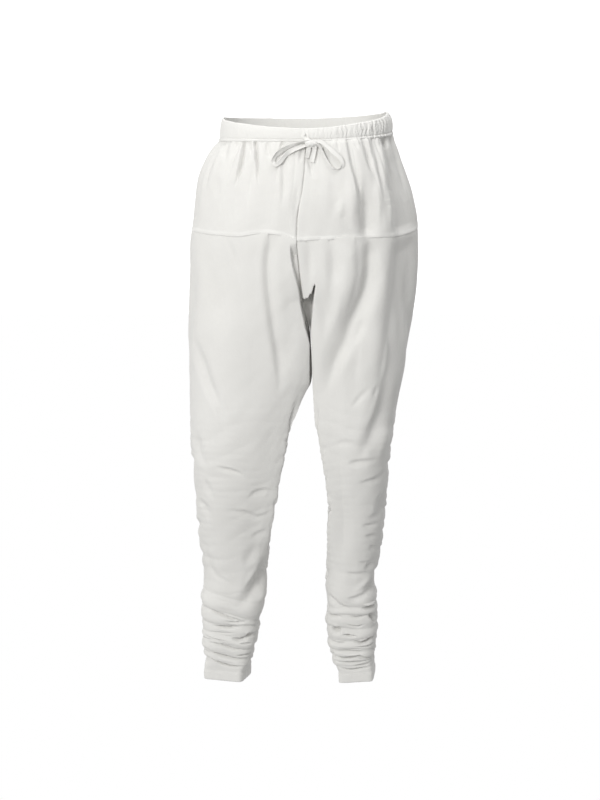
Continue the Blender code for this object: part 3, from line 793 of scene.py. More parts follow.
def fold(points, across, weight, row):
    """One fold's relief, by each point's distance from the line along its steep shaded side."""
    width, depth, lean = row["width"], row["depth"], row["lean"]
    line = row["line"]
    line = smooth_line(np.column_stack([line[:, 0], 0 * line[:, 0], line[:, 1]]), FOLD_STEP)[:, [0, 2]]
    reach = 3.6 * width
    x, z = points[..., across], points[..., 2]
    near = (x > line[:, 0].min() - reach) & (x < line[:, 0].max() + reach) & (weight > 0)
    near &= (z > line[:, 1].min() - reach) & (z < line[:, 1].max() + reach)
    relief = np.zeros(points.shape[:-1])
    if not near.any():
        return relief
    x, z = x[near], z[near]
    step = np.diff(line, axis=0)
    long = np.hypot(step[:, 0], step[:, 1])
    run = np.concatenate([[0], np.cumsum(long)])
    best = np.full(len(x), 1e9)
    off, at, dark = np.zeros((3, len(x)))
    for (x1, z1), (dx, dz), size, start in zip(line, step, long, run):
        share = np.clip(((x - x1) * dx + (z - z1) * dz) / size**2, 0, 1)
        gap = np.hypot(x - x1 - share * dx, z - z1 - share * dz)
        closer = gap < best
        best = np.where(closer, gap, best)
        side_of = np.sign((z - z1) * dx - (x - x1) * dz)
        shaded = np.clip((-1.1 * dz - 1.3 * dx) / size, -1, 1)
        off = np.where(closer, gap * side_of - 0.65 * width * shaded * (1 - lean), off)
        dark = np.where(closer, shaded, dark)
        at = np.where(closer, start + share * size, at)
    t = at / run[-1]
    taper = ease((1 - t) / 0.5) * (1 if row["at_seam"] else ease(t / 0.4))
    lit_side = np.sign(off) * dark
    d = off / (width * (1 + lean * lit_side) * (0.55 + 0.45 * taper))
    rim = 0.09 - 0.05 * lit_side
    relief[near] = depth * (rim * bell((np.abs(d) - 1.9) / 0.9) - bell(d)) * taper * weight[near]
    return relief


def drawn_folds(faces, side, points, normal):
    """All the listed folds on one piece."""
    relief = np.zeros(points.shape[:-1])
    for face, rows in faces.items():
        across = 0 if face in ("front", "back") else 1
        weight = facing(normal, side, face)
        for row in rows:
            relief += fold(points, across, weight, row)
    return relief


def rolls(phase, sharp):
    """Round rolls between narrow valleys, from about -0.6 to 0.4, once in every turn of phase."""
    return np.abs(np.sin(phase / 2)) ** sharp - 0.6


def level_rolls(side, points, normal, spacing, seed):
    """Low uneven rolls that run round a leg, strongest at its sides and lost in places."""
    warp = 1.1 * ripple(points, 190, seed) + 0.3 * ripple(points, 90, seed + 3)
    lean = points[..., 0] * SIDES[side] * 0.006
    phase = 2 * np.pi * (points[..., 2] / spacing + warp + lean)
    mask = np.clip(0.55 + 1.1 * ripple(points, 85, seed + 5), 0, 1)
    at_side = 1 - 0.62 * facing(normal, side, "front")
    return rolls(phase, 0.85) * mask * at_side


def drape_rolls(points, s, spacing, seed):
    """Long soft rolls that hang down a thigh."""
    warp = 1.1 * ripple(points, 260, seed) + 0.3 * ripple(points, 110, seed + 3)
    lean = points[..., 2] * 0.10
    phase = 2 * np.pi * ((s * 270 + lean) / spacing + warp)
    mask = np.clip(0.5 + 1.0 * ripple(points, 190, seed + 5), 0, 1)
    return (0.5 + 0.5 * np.cos(phase)) * mask - 0.3


def ripple(points, scale, seed):
    """A soft irregular swell, from -1 to 1, of about the given wavelength."""
    total = np.zeros(points.shape[:-1])
    for i in range(5):
        a = uneven(i, seed) * np.pi
        b = uneven(i + 9, seed)
        k = 2 * np.pi / (scale * (0.7 + 0.3 * i))
        phase = 6 * uneven(i + 17, seed)
        total += np.sin(
            k * (points[..., 0] * np.cos(a) + points[..., 1] * np.sin(a) + points[..., 2] * b)
            + phase
        )
    return total / 5


# ---- relief: churi ----


def churi_line(rows, k, s):
    """The height at which the k-th bunched fold starts, uneven all the way round."""
    wave = 1.6 * np.sin(2 * np.pi * s + 2.1 * k) + 0.9 * np.sin(4 * np.pi * s + 1.3 * k)
    return tilted(rows["z"][k], rows["tilt"][k], s) + wave


def churi_relief(side, z, s):
    """How far the bunched folds stand out."""
    rows = CHURIS[side]
    out = np.zeros_like(z)
    for k in range(len(rows["z"]) - 1):
        upper = churi_line(rows, k, s)
        full = 0.65 + 0.35 * np.cos(np.pi * s - np.radians(rows["full_deg"][k]))
        t = (upper - z) / (upper - churi_line(rows, k + 1, s))
        inside = (t > 0) & (t <= 1)
        hump = np.sin(np.pi * np.clip(t, 0, 1) ** 1.25) ** 0.75
        out = np.where(inside, rows["bulge"][k] * full * hump, out)
    return out


# ---- making meshes ----


def quads(grid):
    """A quad between every four neighbours in a grid of point numbers."""
    corners = grid[:-1, :-1], grid[1:, :-1], grid[1:, 1:], grid[:-1, 1:]
    return np.stack(corners, axis=-1).reshape(-1, 4)


def shell(name, outer, inner, rows, cols, uv, layers, closed_from, flip):
    """A thin closed shell: outer is a fine grid of points and inner a coarser one.

    rows and cols are the outer grid's rows and columns at which the inner one has its own. From row
    closed_from on the last column is the first one again; None leaves the whole side open.
    """
    height, width = outer.shape[:2]
    fine = np.arange(height * width).reshape(height, width)
    coarse = height * width + np.arange(len(rows) * len(cols)).reshape(len(rows), len(cols))
    points = np.vstack([outer.reshape(-1, 3), inner.reshape(-1, 3)])
    plan = np.vstack([uv.reshape(-1, 2), uv[np.ix_(rows, cols)].reshape(-1, 2)])
    cover = np.concatenate([layers.ravel(), layers[np.ix_(rows, cols)].ravel()])

    four = np.vstack([quads(fine), quads(coarse)[:, ::-1]])
    three = []

    def zip_up(edge, mate, picks):
        """Joins a fine edge to a coarse one that meets it at the picked places."""
        for j in range(len(picks) - 1):
            for k in range(picks[j], picks[j + 1]):
                three.append((edge[k], edge[k + 1], mate[j]))
            three.append((edge[picks[j + 1]], mate[j + 1], mate[j]))

    def turned(picks, last):
        return [last - p for p in reversed(picks)]

    zip_up(fine[0], coarse[0], cols)
    zip_up(fine[-1][::-1], coarse[-1][::-1], turned(cols, width - 1))
    last = height - 1 if closed_from is None else closed_from
    open_rows = [r for r in rows if r <= last]
    if last > 0:
        count = len(open_rows)
        zip_up(fine[: last + 1, 0][::-1], coarse[:count, 0][::-1], turned(open_rows, last))
        zip_up(fine[: last + 1, -1], coarse[:count, -1], open_rows)
    three = np.array(three)
    same = np.arange(len(points))
    if closed_from is not None:
        same[fine[closed_from:, -1]] = fine[closed_from:, 0]
        first = rows.index(closed_from)
        same[coarse[first:, -1]] = coarse[first:, 0]
    if flip:
        four, three = four[:, ::-1], three[:, ::-1]
    return make_mesh(name, points, four, three, same, plan, cover)


def link(name, data):
    """A new object of the given data, in the scene."""
    made = bpy.data.objects.new(name, data)
    bpy.context.scene.collection.objects.link(made)
    return made


def make_mesh(name, points, four, three, same, plan, cover):
    """A smooth mesh from quads and triangles; same gives the point that each point really is.

    plan is its flat cloth, and cover how much of a second layer shows, at each point or all over.
    """
    cover = np.broadcast_to(cover, len(points))
    loops = np.concatenate([four.ravel(), three.ravel()])
    joined = same[loops]
    used, corner = np.unique(joined, return_inverse=True)
    sizes = np.concatenate([np.full(len(four), 4), np.full(len(three), 3)])
    starts = np.concatenate([[0], np.cumsum(sizes)[:-1]])
    mesh = bpy.data.meshes.new(name)
    mesh.vertices.add(len(used))
    mesh.vertices.foreach_set("co", (points[used] * MM).astype(np.float32).ravel())
    mesh.loops.add(len(loops))
    mesh.loops.foreach_set("vertex_index", corner.astype(np.int32))
    mesh.polygons.add(len(sizes))
    mesh.polygons.foreach_set("loop_start", starts.astype(np.int32))
    mesh.update(calc_edges=True)
    layer = mesh.uv_layers.new(name="cloth")
    layer.data.foreach_set("uv", (plan[loops] * MM).astype(np.float32).ravel())
    shade = mesh.attributes.new("layers", "FLOAT", "POINT")
    shade.data.foreach_set("value", cover[used].astype(np.float32))
    mesh.validate()
    mesh.shade_smooth()
    return link(name, mesh)


def picks(count, step, *kept):
    """Every step-th index of a row, with the last one and those that are kept."""
    return sorted({*range(0, count, step), count - 1, *kept})


def arc_length(form, axis):
    """How far each point of a grid lies along its row (axis 1) or down its column (axis 0)."""
    step = np.linalg.norm(np.diff(form, axis=axis), axis=2)
    return np.insert(np.cumsum(step, axis=axis), 0, 0, axis=axis)


def arc_plan(form):
    """Each point's place in the flat cloth: along its row from the side seam, and down its column."""
    across = arc_length(form, 1)
    across -= across[:, [form.shape[1] // 2]]
    down = arc_length(form, 0)
    return np.stack([across, -down.mean(axis=1, keepdims=True) + 0 * across], axis=-1)


def groove(form, depth, wide):
    """A seam's line at both ends of a half: from the arc length to the nearer end."""
    across = arc_length(form, 1)
    left = np.minimum(across, across[:, [-1]] - across)
    return -depth * bell(left / wide)


def line_at(grid, level, value):
    """The line across a grid's columns on which the level has the given value."""
    made = []
    for c in range(grid.shape[1]):
        order = np.argsort(level[:, c])
        made.append([np.interp(value, level[order, c], grid[order, c, k]) for k in range(3)])
    return np.array(made)


def sewn_lines(name, outer, normal, level, places):
    """Stitching on a piece, along each line on which the level has one of the given values."""
    return [
        stitches(f"{name}_thread_{k}", line_at(outer, level, at), line_at(normal, level, at))
        for k, at in enumerate(places)
    ]


# ---- the cloth pieces ----


def make_waistband():
    """The casing: closely puckered, with its stitched foot and the slit that the tape leaves by."""
    half, rows = 400, 30
    s_half = np.linspace(-1, 1, half + 1)
    share = np.linspace(0, 1, rows + 1)[:, None]
    outer, inner = [], []
    for side in ("left", "right"):
        s = s_half[:-1] if side == "left" else s_half[::-1]
        s2 = np.broadcast_to(s, (rows + 1, len(s)))
        edge = 0.5 * ripple(np.stack([300 * s2, 0 * s2, 0 * s2], -1), 46, 3 + SIDES[side])
        high = edge_height(BAND_TOP, side, s2) + edge
        z = high + (edge_height(BAND_FOOT, side, s2) - high) * share
        form = body(side, z, s2)
        n = outward(side, z, s2)
        relief = band_relief(side, s2, share + 0 * s2, form)
        outer.append(form + n * relief[..., None])
        inside = band_inside(side, s2, share + 0 * s2)
        inner.append(form + n * inside[..., None])
    outer = np.concatenate(outer, axis=1)
    inner = np.concatenate(inner, axis=1)
    cover = np.full(outer.shape[:2], CASING_COVER)
    every_row, every_column = (list(range(count)) for count in outer.shape[:2])
    plan = arc_plan(outer)
    made = shell("casing", outer, inner, every_row, every_column, plan, cover, 0, False)
    level = np.broadcast_to(share, outer.shape[:2])
    away = outer - np.mean(outer, axis=1, keepdims=True)
    away[..., 2] = 0
    return made, sewn_lines("casing", outer, away, level, (BAND_STITCH, TOP_STITCH))


BAND_STITCH = 0.84  # shares of the casing's height at which it is stitched
TOP_STITCH = 0.13
SLIT_MIDDLE = 0.62
CASING_COVER = 0.35  # how much the second layer of the cloth shows in the first one's colour
HEM_COVER = 0.05
SEAM_RELIEF = 0.45  # the share of a fold's relief that is left at the yoke's seam


def band_puckers(side, s):
    """Where the casing's cloth is crowded on its tape: sharp uneven puckers."""
    fine = pucker_relief(side, s, 0 * s, 1.0, 11.5, 40.0)
    finer = pucker_relief(side, s, 0 * s, 0.55, 4.7, 40.0)
    flat = bell((s + 0.72) / 0.22) if side == "right" else 0 * s
    return (fine + finer) * (0.6 + 4.2 * crowded(side, s) - 0.35 * flat)


def crowded(side, s):
    """How much more the cloth is crowded at the left of the front than elsewhere."""
    return bell((s + 0.36) / 0.3) * (s < 0) if side == "left" else 0 * s


def band_relief(side, s, share, form):
    """The casing's outer relief over its smooth form."""
    pucker = band_puckers(side, s + 0.006 * np.sin(9 * share + 40 * s))
    roll = np.sqrt(np.clip(1 - (1 - np.clip(share / 0.09, 0, 1)) ** 2, 0, 1))
    tunnel = np.sin(np.pi * np.clip(share / BAND_STITCH, 0, 1)) ** 0.6
    ridge = bell((share - 0.93) / 0.045)
    stitched = bell((share - BAND_STITCH) / 0.03)
    top_stitch = bell((share - TOP_STITCH) / 0.03)
    relief = -1.0 + 1.2 * roll + 1.5 * tunnel + 1.1 * ridge - 0.6 * stitched - 0.3 * top_stitch
    relief += pucker * (0.35 + 0.9 * tunnel) + 0.5 * pucker * ridge
    relief += 0.25 * ripple(form, 16, 21)
    across = np.abs(form[..., 0])
    slit = bell(across / 1.6, 4) * bell((share - SLIT_MIDDLE) / 0.17, 6)
    lips = bell((across - 3.2) / 1.5) * bell((share - SLIT_MIDDLE) / 0.2, 6)
    return relief + (s < -0.9) * (0.7 * lips - 2.2 * slit)


def band_inside(side, s, share):
    """The casing's inner face: gathered the same way, and gently."""
    pucker = band_puckers(side, s + 0.01 * np.sin(7 * share + 30 * s))
    tunnel = np.sin(np.pi * np.clip(share / BAND_STITCH, 0, 1)) ** 0.6
    return -1.9 + 0.5 * pucker * (0.4 + tunnel) - 0.3 * tunnel


def make_yoke(side):
    width, height, skip = 340, 112, 4
    u = np.linspace(-1, 1, width + 1)
    drop_share = np.linspace(0, 1, height + 1)[:, None]
    s0 = np.broadcast_to(u, (height + 1, width + 1))
    band_foot = edge_height(BAND_FOOT, side, s0) + TUCK
    seam = seam_height(side, s0) + strip_wander(side, s0)
    z = band_foot + (seam - band_foot) * drop_share
    drop = band_foot - z
    rise = z - seam
    share = np.clip(drop_share + 0 * s0, 0, 1)
    at = gather_place(side, share, s0)
    form = body(side, z, s0)
    n = outward(side, z, s0)
    smooth = 1 - 0.75 * facing(n, side, "front") * bell(form[..., 0] / 62)
    relief = gather_relief(side, at, share) * (0.6 + 0.4 * ripple(form, 60, 33)) * smooth
    relief += pucker_relief(side, s0, drop, 2.6, 15.0, 62.0) * smooth
    relief += pucker_relief(side, s0, drop, 1.5, 8.0, 34.0) * (1 + crowded(side, s0))
    relief += pucker_relief(side, s0, drop, 0.7, 4.6, 16.0) * (1 + 1.6 * crowded(side, s0))
    relief += drawn_folds(YOKE_FOLDS[side], side, form, n)
    relief += 1.8 * share * drape_rolls(form, s0, 66, 101 + SIDES[side])
    relief += 0.7 * ripple(form, 70, 31 + SIDES[side]) + 0.22 * ripple(form, 20, 37 + SIDES[side])
    relief += groove(form, 1.3, 1.6) * (1 + ease((-118 - z) / 25))
    relief *= 1 - (1 - SEAM_RELIEF) * ease(1 - rise / 18)
    above = ease((drop - 1.0) / (TUCK + 5.0))
    relief = relief * (0.35 + 0.65 * above) - 1.2 * (1 - ease(drop / (TUCK + 1.5)))
    relief += strip_relief(s0, rise)
    outer = keep_apart(side, form + n * relief[..., None], s0)
    rows, cols = picks(height + 1, skip), picks(width + 1, skip)
    deep = low_around(relief, skip, skip) - CLOTH
    inner = keep_apart(side, form + n * deep[..., None], s0)[np.ix_(rows, cols)]
    doubled = 0.55 + 0.25 * np.sin(9 * s0 + 2.4) + 0.15 * np.sin(31 * s0)
    cover = doubled * ease((SEAM_STRIP_HEIGHT + 0.8 - rise) / 1.2)
    made = shell(
        f"hip_{side}", outer, inner, rows, cols, arc_plan(form), cover, None, side == "right"
    )
    return made, sewn_lines(f"hip_{side}", outer, n, rise, STRIP_STITCHES)


STRIP_STITCHES = (1.6, 5.6)  # heights above the yoke's foot at which its doubled edge is stitched


def strip_wander(side, s):
    return 0.7 * np.sin(11 * s + 2 * SIDES[side]) + 0.4 * np.sin(27 * s)


def strip_relief(s, rise):
    """The raised double layer at the yoke's foot, rippled where its seam takes up the cloth."""
    flat = ease((SEAM_STRIP_HEIGHT + 0.4 - rise) / 0.8)
    wave = 0.14 * np.sin(150 * s + 5 * np.sin(13 * s)) * np.sin(41 * s + 1)
    edge = -0.3 * bell(rise / 0.9)
    stitch = sum(bell((rise - at) / 0.7) for at in STRIP_STITCHES)
    return flat * (0.4 * SEAM_STRIP_PROUD + wave + edge) - 0.16 * stitch


LEG_COLUMN_COUNT = 232
LEG_OPEN_ROWS = 72
LEG_MIDDLE_ROWS = 176
LEG_CHURI_ROWS = 148
CHURI_TOP = -782.0


def leg_heights(side, s):
    """Each grid row's heights: from under the yoke's seam to the crotch, the churi and the hem."""
    top = seam_height(side, s) + strip_wander(side, s) + TUCK
    crotch = CROTCH_Z + 0 * s
    churi = tilted(CHURI_TOP, 0.6 * CHURIS[side]["tilt"][0], s)
    hem = tilted(HEM[side]["z"], HEM[side]["tilt"], s)
    made = []
    for upper, lower, count in (
        (top, crotch, LEG_OPEN_ROWS),
        (crotch, churi, LEG_MIDDLE_ROWS),
        (churi, hem, LEG_CHURI_ROWS),
    ):
        for i in range(count):
            made.append(upper + (lower - upper) * i / count)
    made.append(hem)
    return np.array(made)


WEDGE = table("""
    z right left
    -255 -14 16
    -285 -10 12.5
    -302 -7 11
    -319 -3.5 9.7
    -336 0 8.5
    -350 4 7.8
    -362 7 7.2
""")
WEDGE_BACK = -75.0  # how far back the dark wedge between the legs reaches


def slot_depth(side, z, s, form):
    """How far a half's front edge is pushed in where the left half laps over the right one."""
    across = arc_length(form, 1)
    depth = (11 + 6 * ease((-240 - z) / 45)) * ease((-190 - z) / 22) * ease((z + 300) / 12)
    wide, edge = (12 - 7 * ease((-215 - z) / 60), 3.0) if side == "right" else (1.9, 1.9)
    return depth * ease((wide - across) / edge) * (s < 0)


def wedge_depth(side, z, s, points):
    """How far the front is pushed in at the wedge where the legs part, under a ragged edge."""
    x, y = points[..., 0], points[..., 1]
    foot = np.interp(x, [-10, 3, 10, 15], [-287, -283, -273, -258]) + 1.2 * np.sin(1.1 * x)
    inside = SIDES[side] * (along(WEDGE, side, z) - x)
    mask = ease((inside + 0.8) / 2.2) * ease((foot - z) / 4) * (s < -0.3)
    return mask * np.maximum(WEDGE_BACK - y, 0)


def pressed_front(side, z, s, form):
    """How far forward the legs' inner edges are pushed where the two press on each other."""
    across = np.abs(form[..., 0] - form[:, :1, 0])
    front = form[..., 1].min(axis=1, keepdims=True)
    low = ease((-345 - z) / 110)
    slope = 0.05 + (0.17 if side == "right" else 0.12) * low
    drop = 0.03 * np.exp(-across / 3) + slope * np.maximum(1 - across / 62, 0) ** 1.3
    flat = front * (1 - drop)
    window = ease((-278 - z) / 12) * ease((z + 820) / 140) * ease((62 - across) / 45)
    return np.maximum(form[..., 1] - flat, 0) * window * (s < -0.5)


def make_leg(side):
    even_s = np.linspace(-1, 1, LEG_COLUMN_COUNT + 1)
    s = even_s + 0.35 * np.sin(np.pi * even_s) / np.pi
    z = leg_heights(side, s)
    s2 = np.broadcast_to(s, z.shape)
    form = body(side, z, s2)
    n = outward(side, z, s2)
    even = ease((0.93 - np.abs(s2)) / 0.2) * ease((z + 790) / 60) * ease((-200 - z) / 30)
    form[..., :2] = softened(form[..., :2], even, 9)
    n = unit(softened(n, even, 9))
    low = ease((CHURI_TOP + 20 - z) / 40)
    relief = drawn_folds(LEG_FOLDS[side], side, form, n)
    thigh = ease((z + 540) / 120)
    calf = ease((-430 - z) / 120) * (1 - low)
    relief += 2.4 * thigh * drape_rolls(form, s2, 74, 81 + SIDES[side])
    relief += 2.6 * calf * level_rolls(side, form, n, 31, 71 + SIDES[side])
    relief += 1.1 * calf * level_rolls(side, form, n, 13, 91 + SIDES[side])
    relief += 0.9 * ripple(form, 95, 51 + SIDES[side]) + 0.3 * ripple(form, 26, 57 + SIDES[side])
    seam = seam_height(side, s2) + strip_wander(side, s2)
    relief *= SEAM_RELIEF + (1 - SEAM_RELIEF) * ease((seam - z) / 30)
    hem_rise = z - tilted(HEM[side]["z"], HEM[side]["tilt"], s2)
    bunch = churi_relief(side, z, s2) * (0.9 + 0.2 * ripple(form, 40, 61))
    facing_front = facing(n, side, "front")
    fine = churi_lines(side, z, s2) * low * (1 - 0.75 * facing_front)
    for row in CHURI_FOLDS[side]:
        fine += fold(form, 0, facing_front, row)
    cuff = ease((hem_rise - HEM_HEIGHT - 3) / 9)
    relief = relief * (0.2 + 0.8 * cuff) + bunch + fine * cuff
    relief += 0.8 * low * cuff
    relief += hem_relief(s2, hem_rise)
    relief += groove(form, 0.8, 1.6) * (1 - 0.6 * low)
    relief += -0.4 * ease((z - seam + 2.0) / 4.0)
    outer = form + n * relief[..., None]
    gap = slot_depth(side, z, s2, form)
    pressed = pressed_front(side, z, s2, form)
    outer[..., 1] += gap - pressed
    wedge = wedge_depth(side, z, s2, outer)
    outer[..., 1] += wedge
    gap = gap + wedge
    outer[..., 2] -= 0.5 * np.maximum(bunch + 0.5 * fine, 0) * low
    outer = leg_apart(side, outer, s2)
    closed = LEG_OPEN_ROWS
    skip = (7, 4)
    rows = picks(len(z), skip[0], closed)
    cols = picks(len(s), skip[1])
    within = form + n * (low_around(relief, *skip) - CLOTH)[..., None]
    within[..., 1] -= low_around(-gap, *skip) + low_around(pressed, *skip)
    inner = leg_apart(side, within, s2)[np.ix_(rows, cols)]
    cover = HEM_COVER * ease((HEM_HEIGHT + 0.5 - hem_rise) / 1.0)
    made = shell(
        f"trouser_{side}", outer, inner, rows, cols, arc_plan(form), cover, closed,
        side == "right",
    )
    at = HEM_HEIGHT - HEM_STITCH
    thread = stitches(
        f"trouser_{side}_thread", line_at(outer, hem_rise, at), line_at(n, hem_rise, at)
    )
    return made, [thread]


HEM_STITCH = 1.8  # how far below its top edge the hem is stitched


def leg_apart(side, points, s):
    """Keeps the open part of a leg on its own side of the middle."""
    above = points[..., 2] > CROTCH_Z - 30
    apart = keep_apart(side, points.copy(), s)
    return np.where(above[..., None], apart, points)


def hem_relief(s, rise):
    """The turned-up hem: a flat doubled band, with its stitching pulled in at the top."""
    flat = ease((HEM_HEIGHT + 0.6 - rise) / 1.4)
    wave = 0.22 * np.sin(52 * s + 3 * np.sin(7 * s))
    stitch = bell((rise - HEM_HEIGHT + HEM_STITCH) / 0.8)
    foot = -0.5 * bell(rise / 1.0)
    return flat * (HEM_PROUD + wave + foot) - 0.4 * stitch


def churi_lines(side, z, s):
    """The sharp lines where one bunched fold lies on the next, each lost in places."""
    relief = np.zeros_like(z)
    for k, (height, tilt) in enumerate(CHURI_LINES[side]):
        wave = 2.4 * np.sin(2 * np.pi * s + 1.9 * k) + 1.6 * np.sin(6 * np.pi * s + 2.7 * k)
        wave += 0.8 * np.sin(14 * np.pi * s + 3.1 * k)
        line = tilted(height, tilt, s) + wave
        strong = 0.5 + 0.5 * np.sin(2 * np.pi * s * (1 + k % 3) + 2.3 * k + SIDES[side])
        depth = 0.7 + 2.5 * strong
        above = z - line
        relief -= depth * np.where(
            above > 0, np.exp(-np.abs(above) / 2.0), np.exp(-np.abs(above) / 4.4)
        )
    return relief


def low_around(values, down, across):
    """Each value's lowest neighbour within a number of rows and columns."""
    for axis, step in ((0, down), (1, across)):
        padded = np.concatenate([
            np.repeat(np.take(values, [0], axis), step, axis),
            values,
            np.repeat(np.take(values, [-1], axis), step, axis),
        ], axis)
        count = values.shape[axis]
        values = np.min(
            [np.take(padded, range(k, k + count), axis) for k in range(2 * step + 1)], axis=0
        )
    return values


def softened(grid, weight, reach):
    """A grid blurred down its columns, by weight."""
    soft = grid
    for _ in range(3):
        ends = [np.repeat(soft[:1], reach, 0), soft, np.repeat(soft[-1:], reach, 0)]
        total = np.cumsum(np.concatenate([0 * soft[:1], *ends]), axis=0)
        width = 2 * reach + 1
        soft = (total[width:] - total[:-width]) / width
    return grid + (soft - grid) * weight[..., None]


# ---- the tape ----

STRANDS = {
    "bow_loop_left": table("""
    x z out face_deg
    20.4 -22.8 6.4 60
    27 -24.5 6.6 60
    36 -32 7.6 65
    47 -41 8.6 70
    57 -51 8.8 70
    61 -61 8 60
    56 -69 6 50
    45 -68 5 45
    35 -56 4.8 45
    27 -41 4.8 40
    23.5 -33 5.4 40
    20.4 -29.5 5.8 40
"""),
    "bow_loop_right": table("""
    x z out face_deg
    -2.4 -23.5 6.2 50
    -10 -25 6 45
    -26 -30 6.4 50
    -39 -36 6.8 50
    -50 -45 6.8 60
    -55 -56 6.4 75
    -50 -61 5.6 90
    -42 -55 4.8 100
    -33 -44 4.6 100
    -22 -37 4.6 95
    -10 -32 5.4 70
    -2.4 -30 5.8 40
"""),
    "tape_end_left": table("""
    x z out face_deg
    14 -31.8 4.4 90
    14 -35 3.8 90
    12 -46 2.9 85
    9.5 -57 2.9 85
"""),
    "tape_end_right": table("""
    x z out face_deg
    4.5 -31.8 4.4 90
    4.5 -35 3.6 90
    3 -43 3 80
    1 -50 3.2 75
"""),
}
TAPE_STEP = 0.9
TAPE_SECTION = 16
TAPE_DRAWN = 1.1
TAPE_COVER = 0.3


def strand_points(rows):
    """A strand's route as points and turns: it lies in front of the smooth form."""
    return np.array([
        (x, front_of(x, z) - out, z, face)
        for x, z, out, face in zip(rows["x"], rows["z"], rows["out"], rows["face_deg"], strict=True)
    ])


def smooth_line(points, step):
    """Points about a step apart on a Catmull-Rom curve through the given rows."""
    ends = np.vstack([2 * points[0] - points[1], points, 2 * points[-1] - points[-2]])
    made = []
    for a, b, c, d in zip(ends, ends[1:], ends[2:], ends[3:]):
        count = max(1, round(float(np.linalg.norm((c - b)[:3])) / step))
        for t in np.arange(count) / count:
            made.append(
                0.5 * (2 * b + (c - a) * t + (2 * a - 5 * b + 4 * c - d) * t**2
                       + (3 * b - a - 3 * c + d) * t**3)
            )
    return np.array([*made, points[-1]])


def tape_frames(line):
    """The tape's places, its width's and its thickness's directions along a line of points."""
    place = line[:, :3]
    way = unit(np.gradient(place, axis=0))
    back = np.array([0.0, 1.0, 0.0])
    across = unit(np.cross(way, back))
    turn = np.radians(line[:, 3])[:, None]
    wide = np.cross(across, way) * np.cos(turn) + across * np.sin(turn)
    return place, wide, np.cross(way, wide)


def make_tape(name, loop, end, seed, slit_x, crumple):
    """One half of the drawstring: out of the slit, through the knot, round its loop and back, and
    down to its free end."""
    knot_front = front_of(KNOT["x"], KNOT["z"]) - KNOT["proud"]
    slit = (slit_x, front_of(0, -14) + 0.2, -14.0, 70)
    lip = (slit_x + 0.6, front_of(0, -17) - 2.6, -18.5, 75)
    into = (KNOT["x"] - 2.0 + slit_x, knot_front - 0.2, KNOT["z"] + 2.2, 70)
    inside = (KNOT["x"] + slit_x, knot_front + 0.6, KNOT["z"] - 1.6, 75)
    route = np.vstack([[slit, lip, into], strand_points(loop), [inside], strand_points(end)])
    line = smooth_line(route, TAPE_STEP)
    run = np.arange(len(line)) * TAPE_STEP
    line[:, 3] += crumple * (5 * np.sin(run / 9 + seed) + 3 * np.sin(run / 4.1 + 2 * seed))
    smooth = line.copy()
    for _ in range(3):
        smooth[1:-1] = (smooth[:-2] + 2 * smooth[1:-1] + smooth[2:]) / 4
    place, wide, thick = tape_frames(smooth)
    turn = np.linspace(0, 2 * np.pi, TAPE_SECTION, endpoint=False)
    flat_x = np.sign(np.cos(turn)) * np.abs(np.cos(turn)) ** 0.6 * TAPE_WIDTH / 2
    flat_y = np.sign(np.sin(turn)) * np.abs(np.sin(turn)) ** 0.7 * TAPE_DRAWN / 2
    cup = 0.8 + 0.5 * np.sin(run / 13 + seed)
    narrow = 1 - 0.10 * np.abs(np.sin(run / 17 + 1.3 * seed))
    rows = []
    for i in range(len(place)):
        x = flat_x * narrow[i]
        bend = cup[i] * ((x / (TAPE_WIDTH / 2)) ** 2 - 0.5)
        crease_in = -0.35 * bell((x - 0.8 * np.sin(run[i] / 7 + seed)) / 0.8)
        y = flat_y + bend + crease_in
        rows.append(place[i] + wide[i] * x[:, None] + thick[i] * y[:, None])
    grid = np.array(rows)
    count = len(grid)
    index = np.arange(count * TAPE_SECTION).reshape(count, TAPE_SECTION)
    ahead = np.roll(index, -1, axis=1)
    four = np.stack([index[:-1], ahead[:-1], ahead[1:], index[1:]], axis=-1).reshape(-1, 4)
    caps = []
    for ring, way_round in ((index[0], -1), (index[-1], 1)):
        for k in range(1, TAPE_SECTION - 1):
            caps.append((ring[0], ring[k], ring[k + 1])[::way_round])
    plan = np.stack(np.broadcast_arrays(flat_x[None, :], run[:, None]), axis=-1).reshape(-1, 2)
    points = grid.reshape(-1, 3)
    same = np.arange(len(points))
    made = make_mesh(name, points, four, np.array(caps), same, plan, TAPE_COVER)
    length = float(np.linalg.norm(np.diff(place, axis=0), axis=1).sum()) * MM
    return made, (place * MM).tolist(), length


